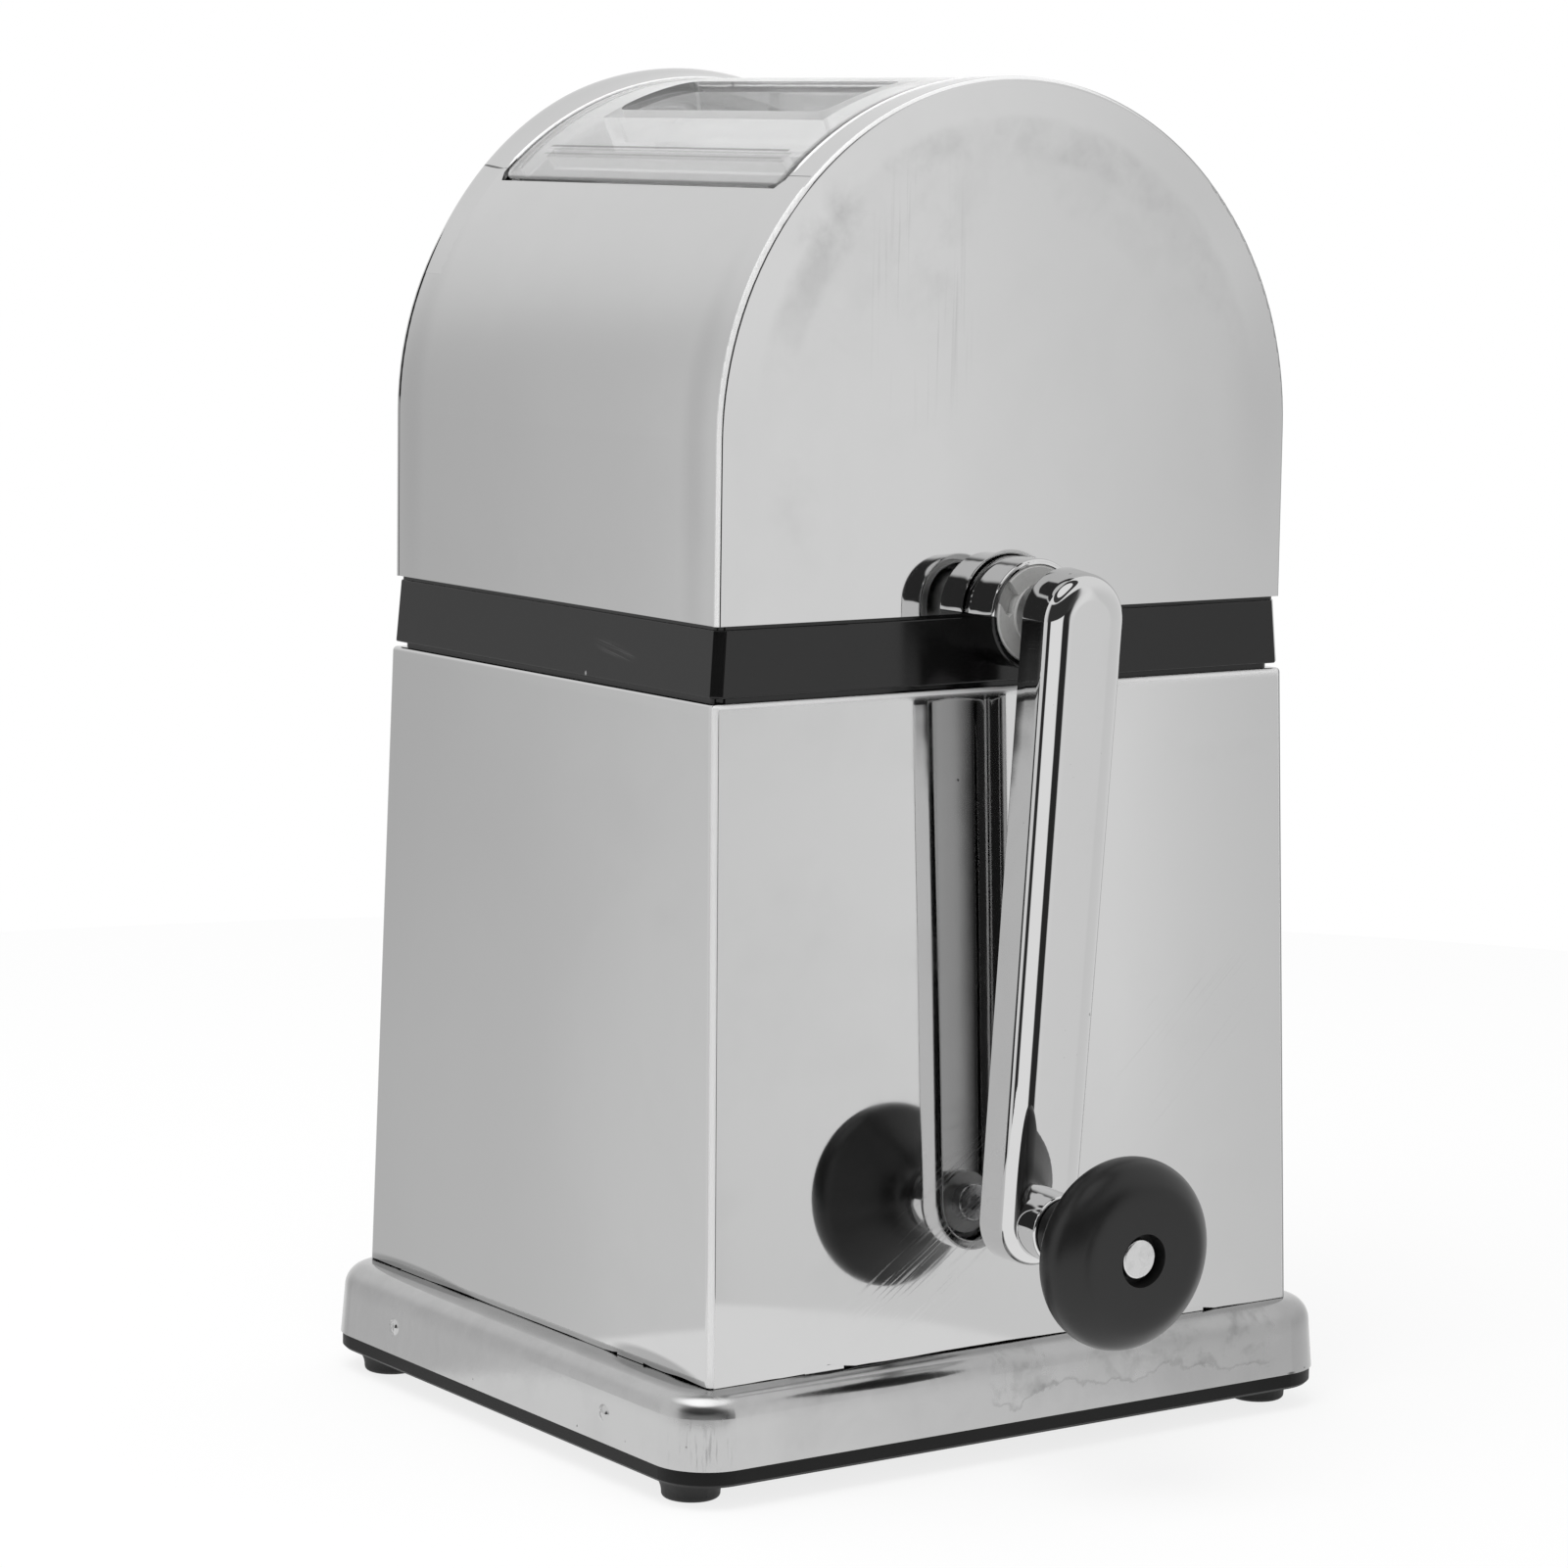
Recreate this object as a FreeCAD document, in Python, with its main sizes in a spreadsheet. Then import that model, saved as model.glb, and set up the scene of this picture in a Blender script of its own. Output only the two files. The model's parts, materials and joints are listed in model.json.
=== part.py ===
import FreeCAD, Part
import Sketcher
import math
import os

V = FreeCAD.Vector
doc = FreeCAD.newDocument("IceCrusher")

# ---------------------------------------------------------------- driving sizes (mm and degrees)
SIZES = [
    # base
    ("shell_x", 137.0), ("shell_y", 157.0), ("shell_corner", 11.0), ("shell_draft", 1.2),
    ("shell_height", 14.3), ("shell_wall", 1.2), ("shell_round", 5.0),
    ("dimple_x", 39.2), ("dimple_radius", 1.5), ("dimple_rise", 0.45),
    ("plate_inset", 0.4), ("plate_thick", 3.3), ("rib_thick", 2.0), ("rib_height", 5.0),
    ("post_radius", 4.2), ("foot_post_height", 7.5),
    ("foot_in_x", 13.0), ("foot_in_y", 9.3), ("foot_low_radius", 5.6), ("foot_top_radius", 7.2),
    ("foot_height", 4.4), ("foot_seat_radius", 3.5), ("foot_seat_depth", 1.8),
    ("screw_radius", 1.5), ("thread_gap", 0.05), ("screw_clearance", 0.25),
    # lower housing and its tabs, ice bin
    ("ledge_x", 5.7), ("ledge_y", 8.15), ("taper_x", 4.35), ("taper_y", 2.0),
    ("housing_height", 127.6), ("housing_wall", 1.0), ("housing_corner", 1.3), ("housing_lip", 4.0),
    ("tab_width", 9.0), ("tab_drop", 3.4), ("tab_left", -45.5), ("tab_right", 36.0),
    ("tab_side", 44.0), ("tab_gap", 0.25),
    ("bin_screw_x", 38.0), ("bin_screw_y", 46.0),
    ("bin_low_gap_x", 8.8), ("bin_low_gap_y", 9.35), ("bin_top_gap_x", 2.15), ("bin_top_gap_y", 2.45),
    ("bin_under_lip", 6.6), ("bin_wall", 2.0), ("bin_floor", 2.2),
    # band, chamber and bearings
    ("shadow_gap", 1.0), ("band_height", 12.6), ("band_proud_x", 0.1), ("band_shy_y", 0.3),
    ("band_draft_x", 0.4), ("band_draft_y", 1.0), ("band_wall", 2.4), ("band_bevel", 1.7),
    ("band_edge", 0.35),
    ("deck_thick", 3.0), ("spigot_depth", 5.0), ("cover_lift", 0.7), ("axis_over_band", 0.8),
    ("throat_x", 86.0), ("bulkhead", 4.0), ("comb_wall_y", 33.2), ("comb_wall_thick", 3.0),
    ("comb_wall_rise", 12.0), ("cap_screw_x", 51.5), ("cap_screw_y", 12.5), ("cap_height", 8.4),
    ("boss_radius", 10.6), ("boss_reach", 8.5), ("bush_flange", 9.55), ("bush_body", 7.0),
    ("bush_collar", 5.7), ("journal_radius", 4.5), ("running_gap", 0.06),
    # covers, lid window and lid
    ("cover_drop", 33.5), ("arch_over", 0.35), ("rim_over", 0.2), ("sheet_wall", 1.2),
    ("panel_inset", 0.05), ("panel_roll", 1.0), ("window_x", 99.0), ("seam_angle", 46.0),
    ("window_front", 43.2), ("window_back", 114.9), ("back_seam", 128.0),
    ("lid_front", 43.8), ("lid_back", 112.0), ("lid_side_gap", 0.6), ("lid_wall", 2.4),
    ("grip_x", 72.5), ("grip_front", 64.0), ("grip_back", 80.5), ("grip_depth", 7.5),
    ("hinge_angle", 110.5), ("hinge_drop", 3.8), ("hinge_pin_radius", 1.5),
    # hopper
    ("hopper_gap", 0.2), ("hopper_flare", 27.8), ("hopper_upright", 29.0), ("hopper_wall", 2.0),
    ("hopper_top_y", 90.0),
    # rotor and combs
    ("shaft_square", 9.0), ("arm_square", 7.0), ("shaft_into_arm", 5.9),
    ("blade_pitch", 15.0), ("blade_thick", 3.0), ("blade_hub", 11.5), ("blade_tip", 22.5),
    ("blade_twist", 18.0), ("spacer_radius", 8.0),
    ("comb_tooth_thick", 4.0), ("comb_plate_thick", 2.5), ("coarse_tip", 14.0), ("fine_tip", 11.0),
    # crank arm and knob
    ("arm_throw", 115.0), ("arm_thick", 8.2), ("arm_head_radius", 9.7), ("arm_end_radius", 9.3),
    ("arm_standoff", 7.7), ("arm_lean", 2.44), ("arm_swing", 1.9), ("arm_rim", 1.9),
    ("arm_skin", 2.4), ("arm_round", 5.0), ("arm_channel_round", 3.2),
    ("ferrule_radius", 6.75), ("ferrule_length", 5.8), ("axle_radius", 3.0), ("knob_end_play", 0.2),
    ("knob_start", 6.0), ("knob_length", 30.3), ("knob_radius", 18.4), ("knob_recess", 5.1),
    ("knob_recess_depth", 3.2),
]
sheet = doc.addObject("Spreadsheet::Sheet", "Dims")
for row, (word, number) in enumerate(SIZES, start=1):
    sheet.set("A%d" % row, word)
    sheet.set("B%d" % row, str(number))
    sheet.setAlias("B%d" % row, word)
doc.recompute()


class Size(float):
    """A number that remembers the sheet formula it came from."""

    def __new__(cls, number, formula=None):
        made = float.__new__(cls, number)
        made.formula = formula if formula else repr(float(number))
        return made

    def __add__(self, other):
        return Size(float(self) + float(other), "(%s + %s)" % (self.formula, formula_of(other)))

    def __sub__(self, other):
        return Size(float(self) - float(other), "(%s - %s)" % (self.formula, formula_of(other)))

    def __mul__(self, other):
        return Size(float(self) * float(other), "(%s * %s)" % (self.formula, formula_of(other)))

    def __truediv__(self, other):
        return Size(float(self) / float(other), "(%s / %s)" % (self.formula, formula_of(other)))

    def __neg__(self):
        return Size(-float(self), "(-1 * %s)" % self.formula)


def formula_of(value):
    """The sheet formula of a Size, or the plain number."""
    return value.formula if isinstance(value, Size) else repr(float(value))


def dim(word):
    """One driving size, read from the sheet."""
    return Size(float(getattr(sheet, word)), "Dims.%s" % word)


finished = []


def finish(label, item):
    """Name a sub-part and put it on the list to be written."""
    item.Label = label
    finished.append(item)
    return item


# ---------------------------------------------------------------- body and sketch helpers
def new_body(label):
    body = doc.addObject("PartDesign::Body", "Body_" + label)
    return finish(label, body)


def plane_of(body, role):
    for part in body.Origin.OriginFeatures:
        if part.Role == role:
            return part
    return None


def new_sketch(body, name, role, offset=0.0, spin=0.0):
    """A sketch on one of the body's own origin planes, moved along and spun about its normal."""
    sketch = body.newObject("Sketcher::SketchObject", name)
    sketch.AttachmentSupport = (plane_of(body, role), [""])
    sketch.MapMode = "FlatFace"
    sketch.AttachmentOffset = FreeCAD.Placement(V(0, 0, float(offset)),
                                                FreeCAD.Rotation(V(0, 0, 1), float(spin)))
    if isinstance(offset, Size):
        sketch.setExpression("AttachmentOffset.Base.z", offset.formula)
    return sketch


def pin_point(sketch, geometry, position, across, up):
    """Fix one sketch point at (across, up) from the sketch origin."""
    for kind, axis, value in (("DistanceX", -2, across), ("DistanceY", -1, up)):
        if abs(float(value)) < 1e-9:
            sketch.addConstraint(Sketcher.Constraint("PointOnObject", geometry, position, axis))
        else:
            index = sketch.addConstraint(
                Sketcher.Constraint(kind, -1, 1, geometry, position, float(value)))
            if isinstance(value, Size):
                sketch.setExpression("Constraints[%d]" % index, value.formula)


def draw_polygon(sketch, corners):
    """Closed outline with every corner held by its own two sizes."""
    first = sketch.GeometryCount
    count = len(corners)
    for i in range(count):
        start = V(float(corners[i][0]), float(corners[i][1]), 0)
        after = corners[(i + 1) % count]
        sketch.addGeometry(Part.LineSegment(start, V(float(after[0]), float(after[1]), 0)), False)
    for i in range(count):
        sketch.addConstraint(
            Sketcher.Constraint("Coincident", first + i, 2, first + (i + 1) % count, 1))
        pin_point(sketch, first + i, 1, corners[i][0], corners[i][1])


def draw_box(sketch, width, depth, across=0.0, up=0.0):
    w = width / 2 if isinstance(width, Size) else width / 2.0
    d = depth / 2 if isinstance(depth, Size) else depth / 2.0
    if not isinstance(w, Size):
        w = Size(w)
    if not isinstance(d, Size):
        d = Size(d)
    draw_polygon(sketch, [(-w + across, -d + up), (w + across, -d + up),
                          (w + across, d + up), (-w + across, d + up)])


def draw_circle(sketch, radius, across=0.0, up=0.0):
    index = sketch.addGeometry(
        Part.Circle(V(float(across), float(up), 0), V(0, 0, 1), float(radius)), False)
    pin_point(sketch, index, 3, across, up)
    held = sketch.addConstraint(Sketcher.Constraint("Radius", index, float(radius)))
    if isinstance(radius, Size):
        sketch.setExpression("Constraints[%d]" % held, radius.formula)


def bind(item, prop, value):
    setattr(item, prop, float(value))
    if isinstance(value, Size):
        item.setExpression(prop, value.formula)


def pad(body, sketch, length, both_ways=False, backwards=False):
    feature = body.newObject("PartDesign::Pad", "Pad")
    feature.Profile = sketch
    bind(feature, "Length", length)
    if both_ways:
        feature.SideType = "Symmetric"
    feature.Reversed = backwards
    return feature


def pocket(body, sketch, length=None, both_ways=False, backwards=False):
    feature = body.newObject("PartDesign::Pocket", "Pocket")
    feature.Profile = sketch
    if length is None:
        feature.Type = "ThroughAll"
    else:
        bind(feature, "Length", length)
    if both_ways:
        feature.SideType = "Symmetric"
    feature.Reversed = backwards
    return feature


def row_of(body, feature, sketch, axis, length, count):
    pattern = body.newObject("PartDesign::LinearPattern", "Row")
    pattern.Originals = [feature]
    pattern.Direction = (sketch, [axis])
    bind(pattern, "Length", length)
    pattern.Occurrences = count
    body.Tip = pattern
    return pattern


def ring_of(body, feature, sketch, count):
    pattern = body.newObject("PartDesign::PolarPattern", "Ring")
    pattern.Originals = [feature]
    pattern.Axis = (sketch, ["N_Axis"])
    pattern.Angle = 360
    pattern.Occurrences = count
    body.Tip = pattern
    return pattern


def round_edges(body, feature, radius, wanted, kind="Fillet"):
    """Fillet or chamfer the edges of the last feature that the test picks out."""
    doc.recompute()
    names = ["Edge%d" % (i + 1) for i, edge in enumerate(feature.Shape.Edges) if wanted(edge)]
    made = body.newObject("PartDesign::" + kind, kind)
    made.Base = (feature, names)
    bind(made, "Radius" if kind == "Fillet" else "Size", radius)
    return made


def upright(edge):
    """True for a straight edge that runs along Z."""
    box = edge.BoundBox
    return box.XLength < 1e-4 and box.YLength < 1e-4 and box.ZLength > 0.5


# ---------------------------------------------------------------- plain solid helpers
def rounded_wire(width, depth, corner, height):
    w, d, r = width / 2.0, depth / 2.0, corner
    edges = []
    centres = [(w - r, d - r, 0), (-w + r, d - r, 90), (-w + r, -d + r, 180), (w - r, -d + r, 270)]
    spots = []
    for cx, cy, start in centres:
        arc = Part.ArcOfCircle(Part.Circle(V(cx, cy, height), V(0, 0, 1), r),
                               math.radians(start), math.radians(start + 90)).toShape()
        spots.append(arc)
    for i in range(4):
        edges.append(spots[i])
        a = spots[i].Vertexes[1].Point
        b = spots[(i + 1) % 4].Vertexes[0].Point
        edges.append(Part.makeLine(a, b))
    return Part.Wire(edges)


def tapered(low, top):
    """Solid between two rounded rectangles, each (width, depth, corner, height)."""
    return Part.makeLoft([rounded_wire(*low), rounded_wire(*top)], True, True)


def bevelled_wire(width, depth, bevel, height):
    w, d = width / 2.0, depth / 2.0
    spots = [(w, d - bevel), (w - bevel, d), (-w + bevel, d), (-w, d - bevel),
             (-w, -d + bevel), (-w + bevel, -d), (w - bevel, -d), (w, -d + bevel), (w, d - bevel)]
    return Part.makePolygon([V(x, y, height) for x, y in spots])


def bevelled(low, top):
    """Solid between two rectangles with cut-off corners, each (width, depth, bevel, height)."""
    return Part.makeLoft([bevelled_wire(*low), bevelled_wire(*top)], True, True)


def box_at(x0, x1, y0, y1, z0, z1):
    return Part.makeBox(x1 - x0, y1 - y0, z1 - z0, V(x0, y0, z0))


def rod(radius, start, length, direction=V(0, 0, 1)):
    return Part.makeCylinder(radius, length, start, direction)


def keep(label, shape):
    """A finished piece made with plain solids."""
    item = doc.addObject("Part::Feature", "Piece_" + label)
    item.Shape = shape
    return finish(label, item)


def copies(label, shape, spots):
    """The same small piece in several places, as one group of separate solids."""
    made = []
    for spot in spots:
        one = shape.copy()
        one.translate(V(*spot))
        made.append(one)
    return keep(label, Part.makeCompound(made))


def pan_screw(head_radius, head_height, shank_radius, shank_length, slot):
    """Pan-head screw standing on its head at the origin, shank towards +Z."""
    head = rod(head_radius, V(0, 0, -head_height), head_height)
    low = [edge for edge in head.Edges if abs(edge.BoundBox.ZMax + head_height) < 1e-6
           and edge.BoundBox.ZLength < 1e-6]
    head = head.makeFillet(head_height * 0.45, low)
    screw = head.fuse(rod(shank_radius, V(0, 0, -0.01), shank_length + 0.01))
    screw = screw.makeChamfer(0.5, [e for e in screw.Edges
                                    if e.BoundBox.ZMin > shank_length - 0.1])
    depth = head_height * 0.55
    for turned in (0, 90):
        bar = box_at(-slot, slot, -slot * 0.22, slot * 0.22, -head_height - 0.1, -head_height + depth)
        bar.rotate(V(0, 0, 0), V(0, 0, 1), turned)
        screw = screw.cut(bar)
    return screw


CORNERS = ((1, 1), (1, -1), (-1, 1), (-1, -1))

# ================================================================ BASE
shell_x, shell_y, shell_corner = dim("shell_x"), dim("shell_y"), dim("shell_corner")
shell_wall, draft = dim("shell_wall"), dim("shell_draft")
foot_high = dim("foot_height")
plate_low = foot_high
plate_top = plate_low + dim("plate_thick")
shell_top = plate_top + dim("shell_height")
shell_under = shell_top - shell_wall
foot_x, foot_y = shell_x / 2 - dim("foot_in_x"), shell_y / 2 - dim("foot_in_y")
bin_x, bin_y = dim("bin_screw_x"), dim("bin_screw_y")
screw_r = dim("screw_radius")
pilot_r, clear_r = screw_r + dim("thread_gap"), screw_r + dim("screw_clearance")

# rubber feet: flared towards the plate, with a sunk seat for the screw head
foot_low_r, foot_top_r, foot_edge = dim("foot_low_radius"), dim("foot_top_radius"), 0.8
foot_side = Part.Arc(V(foot_low_r, 0, foot_edge), V(foot_low_r + 0.35, 0, foot_high * 0.6),
                     V(foot_top_r, 0, foot_high)).toShape()
foot_nose = Part.Arc(V(foot_low_r - foot_edge, 0, 0),
                     V(foot_low_r - foot_edge * 0.293, 0, foot_edge * 0.293),
                     V(foot_low_r, 0, foot_edge)).toShape()
foot = Part.Face(Part.Wire([Part.makeLine(V(0, 0, 0), V(foot_low_r - foot_edge, 0, 0)), foot_nose,
                            foot_side, Part.makeLine(V(foot_top_r, 0, foot_high), V(0, 0, foot_high)),
                            Part.makeLine(V(0, 0, foot_high), V(0, 0, 0))]))
foot = foot.revolve(V(0, 0, 0), V(0, 0, 1), 360)
foot_seat = dim("foot_seat_depth")
foot = foot.cut(rod(dim("foot_seat_radius"), V(0, 0, -1), foot_seat + 1))
foot = foot.cut(rod(screw_r + 0.1, V(0, 0, -1), foot_high + 2))
foot_spots = [(foot_x * sx, foot_y * sy, 0) for sx, sy in CORNERS]
copies("feet", foot, foot_spots)
foot_screw = pan_screw(3.1, 1.5, screw_r, 12.0, 1.7)
copies("foot_screws", foot_screw, [(x, y, foot_seat) for x, y, z in foot_spots])

# moulded base plate: tray floor, ribs, and screw posts
base_plate = new_body("base_plate")
plate_inset = dim("plate_inset")
plate_sketch = new_sketch(base_plate, "PlateOutline", "XY_Plane", plate_low)
draw_box(plate_sketch, shell_x - plate_inset * 2, shell_y - plate_inset * 2)
floor = pad(base_plate, plate_sketch, dim("plate_thick"))
floor = round_edges(base_plate, floor, shell_corner - plate_inset, upright)
round_edges(base_plate, floor, 0.6, lambda e: e.BoundBox.ZMax < float(plate_low) + 0.01, kind="Chamfer")
rib_thick, rib_high, post_r = dim("rib_thick"), dim("rib_height"), dim("post_radius")
ribs = new_sketch(base_plate, "PlateRibs", "XY_Plane", plate_top)
for sign in (1, -1):
    draw_box(ribs, bin_x * 2 - post_r, rib_thick, 0.0, bin_y * sign)
pad(base_plate, ribs, rib_high)
side_ribs = new_sketch(base_plate, "PlateSideRibs", "XY_Plane", plate_top)
for sign in (1, -1):
    draw_box(side_ribs, rib_thick, bin_y * 2 - post_r, bin_x * sign, 0.0)
pad(base_plate, side_ribs, rib_high)
posts = new_sketch(base_plate, "FootPosts", "XY_Plane", plate_top)
for sx, sy in CORNERS:
    draw_circle(posts, post_r, foot_x * sx, foot_y * sy)
pad(base_plate, posts, dim("foot_post_height"))
tall_posts = new_sketch(base_plate, "BinPosts", "XY_Plane", plate_top)
for sx, sy in CORNERS:
    draw_circle(tall_posts, post_r, bin_x * sx, bin_y * sy)
pad(base_plate, tall_posts, shell_under - plate_top)
foot_holes = new_sketch(base_plate, "FootHoles", "XY_Plane", plate_low)
for sx, sy in CORNERS:
    draw_circle(foot_holes, pilot_r, foot_x * sx, foot_y * sy)
pocket(base_plate, foot_holes, dim("plate_thick") + dim("foot_post_height") - 0.4, backwards=True)
bin_holes = new_sketch(base_plate, "BinHoles", "XY_Plane", shell_under)
for sx, sy in CORNERS:
    draw_circle(bin_holes, pilot_r, bin_x * sx, bin_y * sy)
pocket(base_plate, bin_holes, 9.5)
doc.recompute()

# drawn steel base shell, open underneath, with slots for the housing tabs
housing_wall = dim("housing_wall")
low_x, low_y = shell_x - dim("ledge_x") * 2, shell_y - dim("ledge_y") * 2
tab_wide, tab_gap, tab_drop = dim("tab_width"), dim("tab_gap"), dim("tab_drop")
tab_spots = []
for side in (1, -1):
    wall_x, wall_y = (low_x / 2 - housing_wall / 2) * side, (low_y / 2 - housing_wall / 2) * side
    tab_spots += [(dim("tab_left"), wall_y, "y"), (dim("tab_right"), wall_y, "y"),
                  (wall_x, dim("tab_side"), "x"), (wall_x, -dim("tab_side"), "x")]


def tab_block(spot, spare, z0, z1):
    """Upright block at a housing tab, with that much room round it."""
    x, y, across = spot
    half_wide, half_thick = tab_wide / 2 + spare, housing_wall / 2 + spare
    half = (half_thick, half_wide) if across == "x" else (half_wide, half_thick)
    return box_at(x - half[0], x + half[0], y - half[1], y + half[1], z0, z1)


shell = tapered((shell_x, shell_y, shell_corner, plate_top),
                (shell_x - draft * 2, shell_y - draft * 2, shell_corner - draft, shell_top))
shell = shell.makeFillet(dim("shell_round"), [e for e in shell.Edges
                                              if e.BoundBox.ZMin > shell_top - 0.01])
inside = tapered((shell_x - shell_wall * 2, shell_y - shell_wall * 2,
                  shell_corner - shell_wall, plate_top - 0.01),
                 (shell_x - draft * 2 - shell_wall * 2, shell_y - draft * 2 - shell_wall * 2,
                  shell_corner - draft - shell_wall, shell_under))
inside = inside.makeFillet(dim("shell_round") - shell_wall,
                           [e for e in inside.Edges
                            if e.BoundBox.ZMin > shell_under - 0.01])
shell = shell.cut(inside)
dimple_r, dimple_rise = dim("dimple_radius"), dim("dimple_rise")
dimple_ball = (dimple_r ** 2 + dimple_rise ** 2) / (2 * dimple_rise)
dimple_z = plate_top + dim("shell_height") * 0.38
dimple_wall_y = shell_y / 2 - draft * 0.38
for sx, sy in CORNERS:
    shell = shell.cut(rod(clear_r, V(bin_x * sx, bin_y * sy, shell_top - 5), 10))
    ball = Part.makeSphere(dimple_ball, V(dim("dimple_x") * sx,
                                          (dimple_wall_y + dimple_rise - dimple_ball) * sy, dimple_z))
    rim_y = sorted(((dimple_wall_y - 0.4) * sy, (dimple_wall_y + 2) * sy))
    shell = shell.fuse(ball.common(box_at(-shell_x / 2, shell_x / 2, rim_y[0], rim_y[1], 0, shell_top)))
for spot in tab_spots:
    shell = shell.cut(tab_block(spot, tab_gap, shell_under - 1, shell_top + 1))
keep("base_shell", shell)

# folded lower housing: tapered sleeve with a turned-in top lip and eight tabs through the base
wall = housing_wall
top_x, top_y = low_x - dim("taper_x") * 2, low_y - dim("taper_y") * 2
corner, housing_top = dim("housing_corner"), shell_top + dim("housing_height")
housing = tapered((low_x, low_y, corner, shell_top), (top_x, top_y, corner, housing_top))
housing = housing.makeFillet(0.9, [e for e in housing.Edges
                                   if e.BoundBox.ZMin > housing_top - 0.01])
hollow = tapered((low_x - wall * 2, low_y - wall * 2, 0.5, shell_top - 0.01),
                 (top_x - wall * 2, top_y - wall * 2, 0.5, housing_top - wall))
lip = dim("housing_lip")
mouth_round = 3.0
mouth = tapered((top_x - lip * 2, top_y - lip * 2, mouth_round, housing_top - 3),
                (top_x - lip * 2, top_y - lip * 2, mouth_round, housing_top + 1))
housing = housing.cut(hollow).cut(mouth)
for spot in tab_spots:
    housing = housing.fuse(tab_block(spot, 0.0, shell_top - tab_drop, shell_top + 0.5))
keep("lower_housing", housing.removeSplitter())

# ice bin that stands inside the lower housing
bin_wall, bin_floor, bin_top = dim("bin_wall"), dim("bin_floor"), housing_top - dim("bin_under_lip")
bin_low = (low_x - dim("bin_low_gap_x") * 2, low_y - dim("bin_low_gap_y") * 2)
bin_high = (top_x - dim("bin_top_gap_x") * 2, top_y - dim("bin_top_gap_y") * 2)
bin_round, rim_proud = 10.0, 0.7
liner = tapered((bin_low[0], bin_low[1], bin_round, shell_top),
                (bin_high[0], bin_high[1], bin_round - 2, bin_top))
rim = tapered((bin_high[0] + rim_proud * 2, bin_high[1] + rim_proud * 2, bin_round - 1.3,
               bin_top - 2.5),
              (bin_high[0] + rim_proud * 2, bin_high[1] + rim_proud * 2, bin_round - 1.3, bin_top))
bin_space = tapered((bin_low[0] - bin_wall * 2, bin_low[1] - bin_wall * 2, bin_round - 2,
                     shell_top + bin_floor),
                    (bin_high[0] - bin_wall * 2, bin_high[1] - bin_wall * 2, bin_round - 4,
                     bin_top + 0.02))
bin_space = bin_space.makeFillet(4.0, [e for e in bin_space.Edges
                                       if e.BoundBox.ZMax < shell_top + bin_floor + 0.01])
liner = liner.fuse(rim).cut(bin_space)
for sx, sy in CORNERS:
    liner = liner.cut(rod(clear_r, V(bin_x * sx, bin_y * sy, shell_top - 1), bin_floor + 4))
keep("bin_liner", liner)
bin_screw = pan_screw(3.2, 1.7, screw_r, 12.0, 1.8)
bin_screw.rotate(V(0, 0, 0), V(1, 0, 0), 180)
copies("bin_screws", bin_screw,
       [(bin_x * sx, bin_y * sy, shell_top + bin_floor) for sx, sy in CORNERS])

# ================================================================ HEAD: BAND AND CHAMBER
band_low = housing_top + dim("shadow_gap")
band_top = band_low + dim("band_height")
upper_low = band_top + dim("cover_lift")
axis_z = band_top + dim("axis_over_band")
band_low_x = top_x + dim("band_proud_x") * 2
band_low_y = top_y - dim("band_shy_y") * 2
band_top_x = band_low_x - dim("band_draft_x") * 2
band_top_y = band_low_y - dim("band_draft_y") * 2
band_wall, bevel = dim("band_wall"), dim("band_bevel")
inner_x, inner_y, inner_round = band_top_x - band_wall * 2, band_top_y - band_wall * 2, 1.5
panel_face, sheet_wall = band_top_x / 2 - dim("panel_inset"), dim("sheet_wall")
arch_r = band_top_y / 2 + dim("arch_over")
throat_x, bulkhead = dim("throat_x"), dim("bulkhead")
comb_wall_y, comb_wall_thick = dim("comb_wall_y"), dim("comb_wall_thick")
comb_wall_top = axis_z + dim("comb_wall_rise")
boss_radius, boss_end = dim("boss_radius"), panel_face + dim("boss_reach")
bush_body, bush_flange, bush_fit = dim("bush_body"), dim("bush_flange"), 0.05
far_end = throat_x / 2 + 11.6
ALONG = V(1, 0, 0)


def ring_block(outer_x, outer_y, outer_r, hole_x, hole_y, hole_r, z0, z1):
    """Rectangular ring with rounded corners."""
    solid = tapered((outer_x, outer_y, outer_r, z0), (outer_x, outer_y, outer_r, z1))
    return solid.cut(tapered((hole_x, hole_y, hole_r, z0 - 1), (hole_x, hole_y, hole_r, z1 + 1)))


band = bevelled((band_low_x, band_low_y, bevel, band_low), (band_top_x, band_top_y, bevel, band_top))
band = band.makeFillet(dim("band_edge"), band.Edges)
band = band.cut(tapered((inner_x, inner_y, inner_round, band_low - 1),
                        (inner_x, inner_y, inner_round, band_top + 1)))
mouth_x, mouth_y = top_x - lip * 2 - 0.6, top_y - lip * 2 - 0.6
deck_top = housing_top + dim("deck_thick")
deck = ring_block(top_x - 3.5, top_y - 3.9, 2.0, throat_x, comb_wall_y * 2, 0.5, housing_top, band_low)
deck = deck.fuse(ring_block(inner_x + 0.2, inner_y + 0.2, inner_round, throat_x, comb_wall_y * 2, 0.5,
                            band_low, deck_top))
spigot = ring_block(mouth_x, mouth_y, mouth_round - 0.3, mouth_x - 4, mouth_y - 4, 1.5,
                    housing_top - dim("spigot_depth"), housing_top)
ledge = ring_block(panel_face * 2 - 1.2, arch_r * 2 - 1.4, 1.6, inner_x, inner_y, inner_round,
                   band_top, upper_low)
chamber = ring_block(throat_x + bulkhead * 2, comb_wall_y * 2 + comb_wall_thick * 2, 1.0,
                     throat_x, comb_wall_y * 2, 0.5, housing_top, upper_low)
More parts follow.
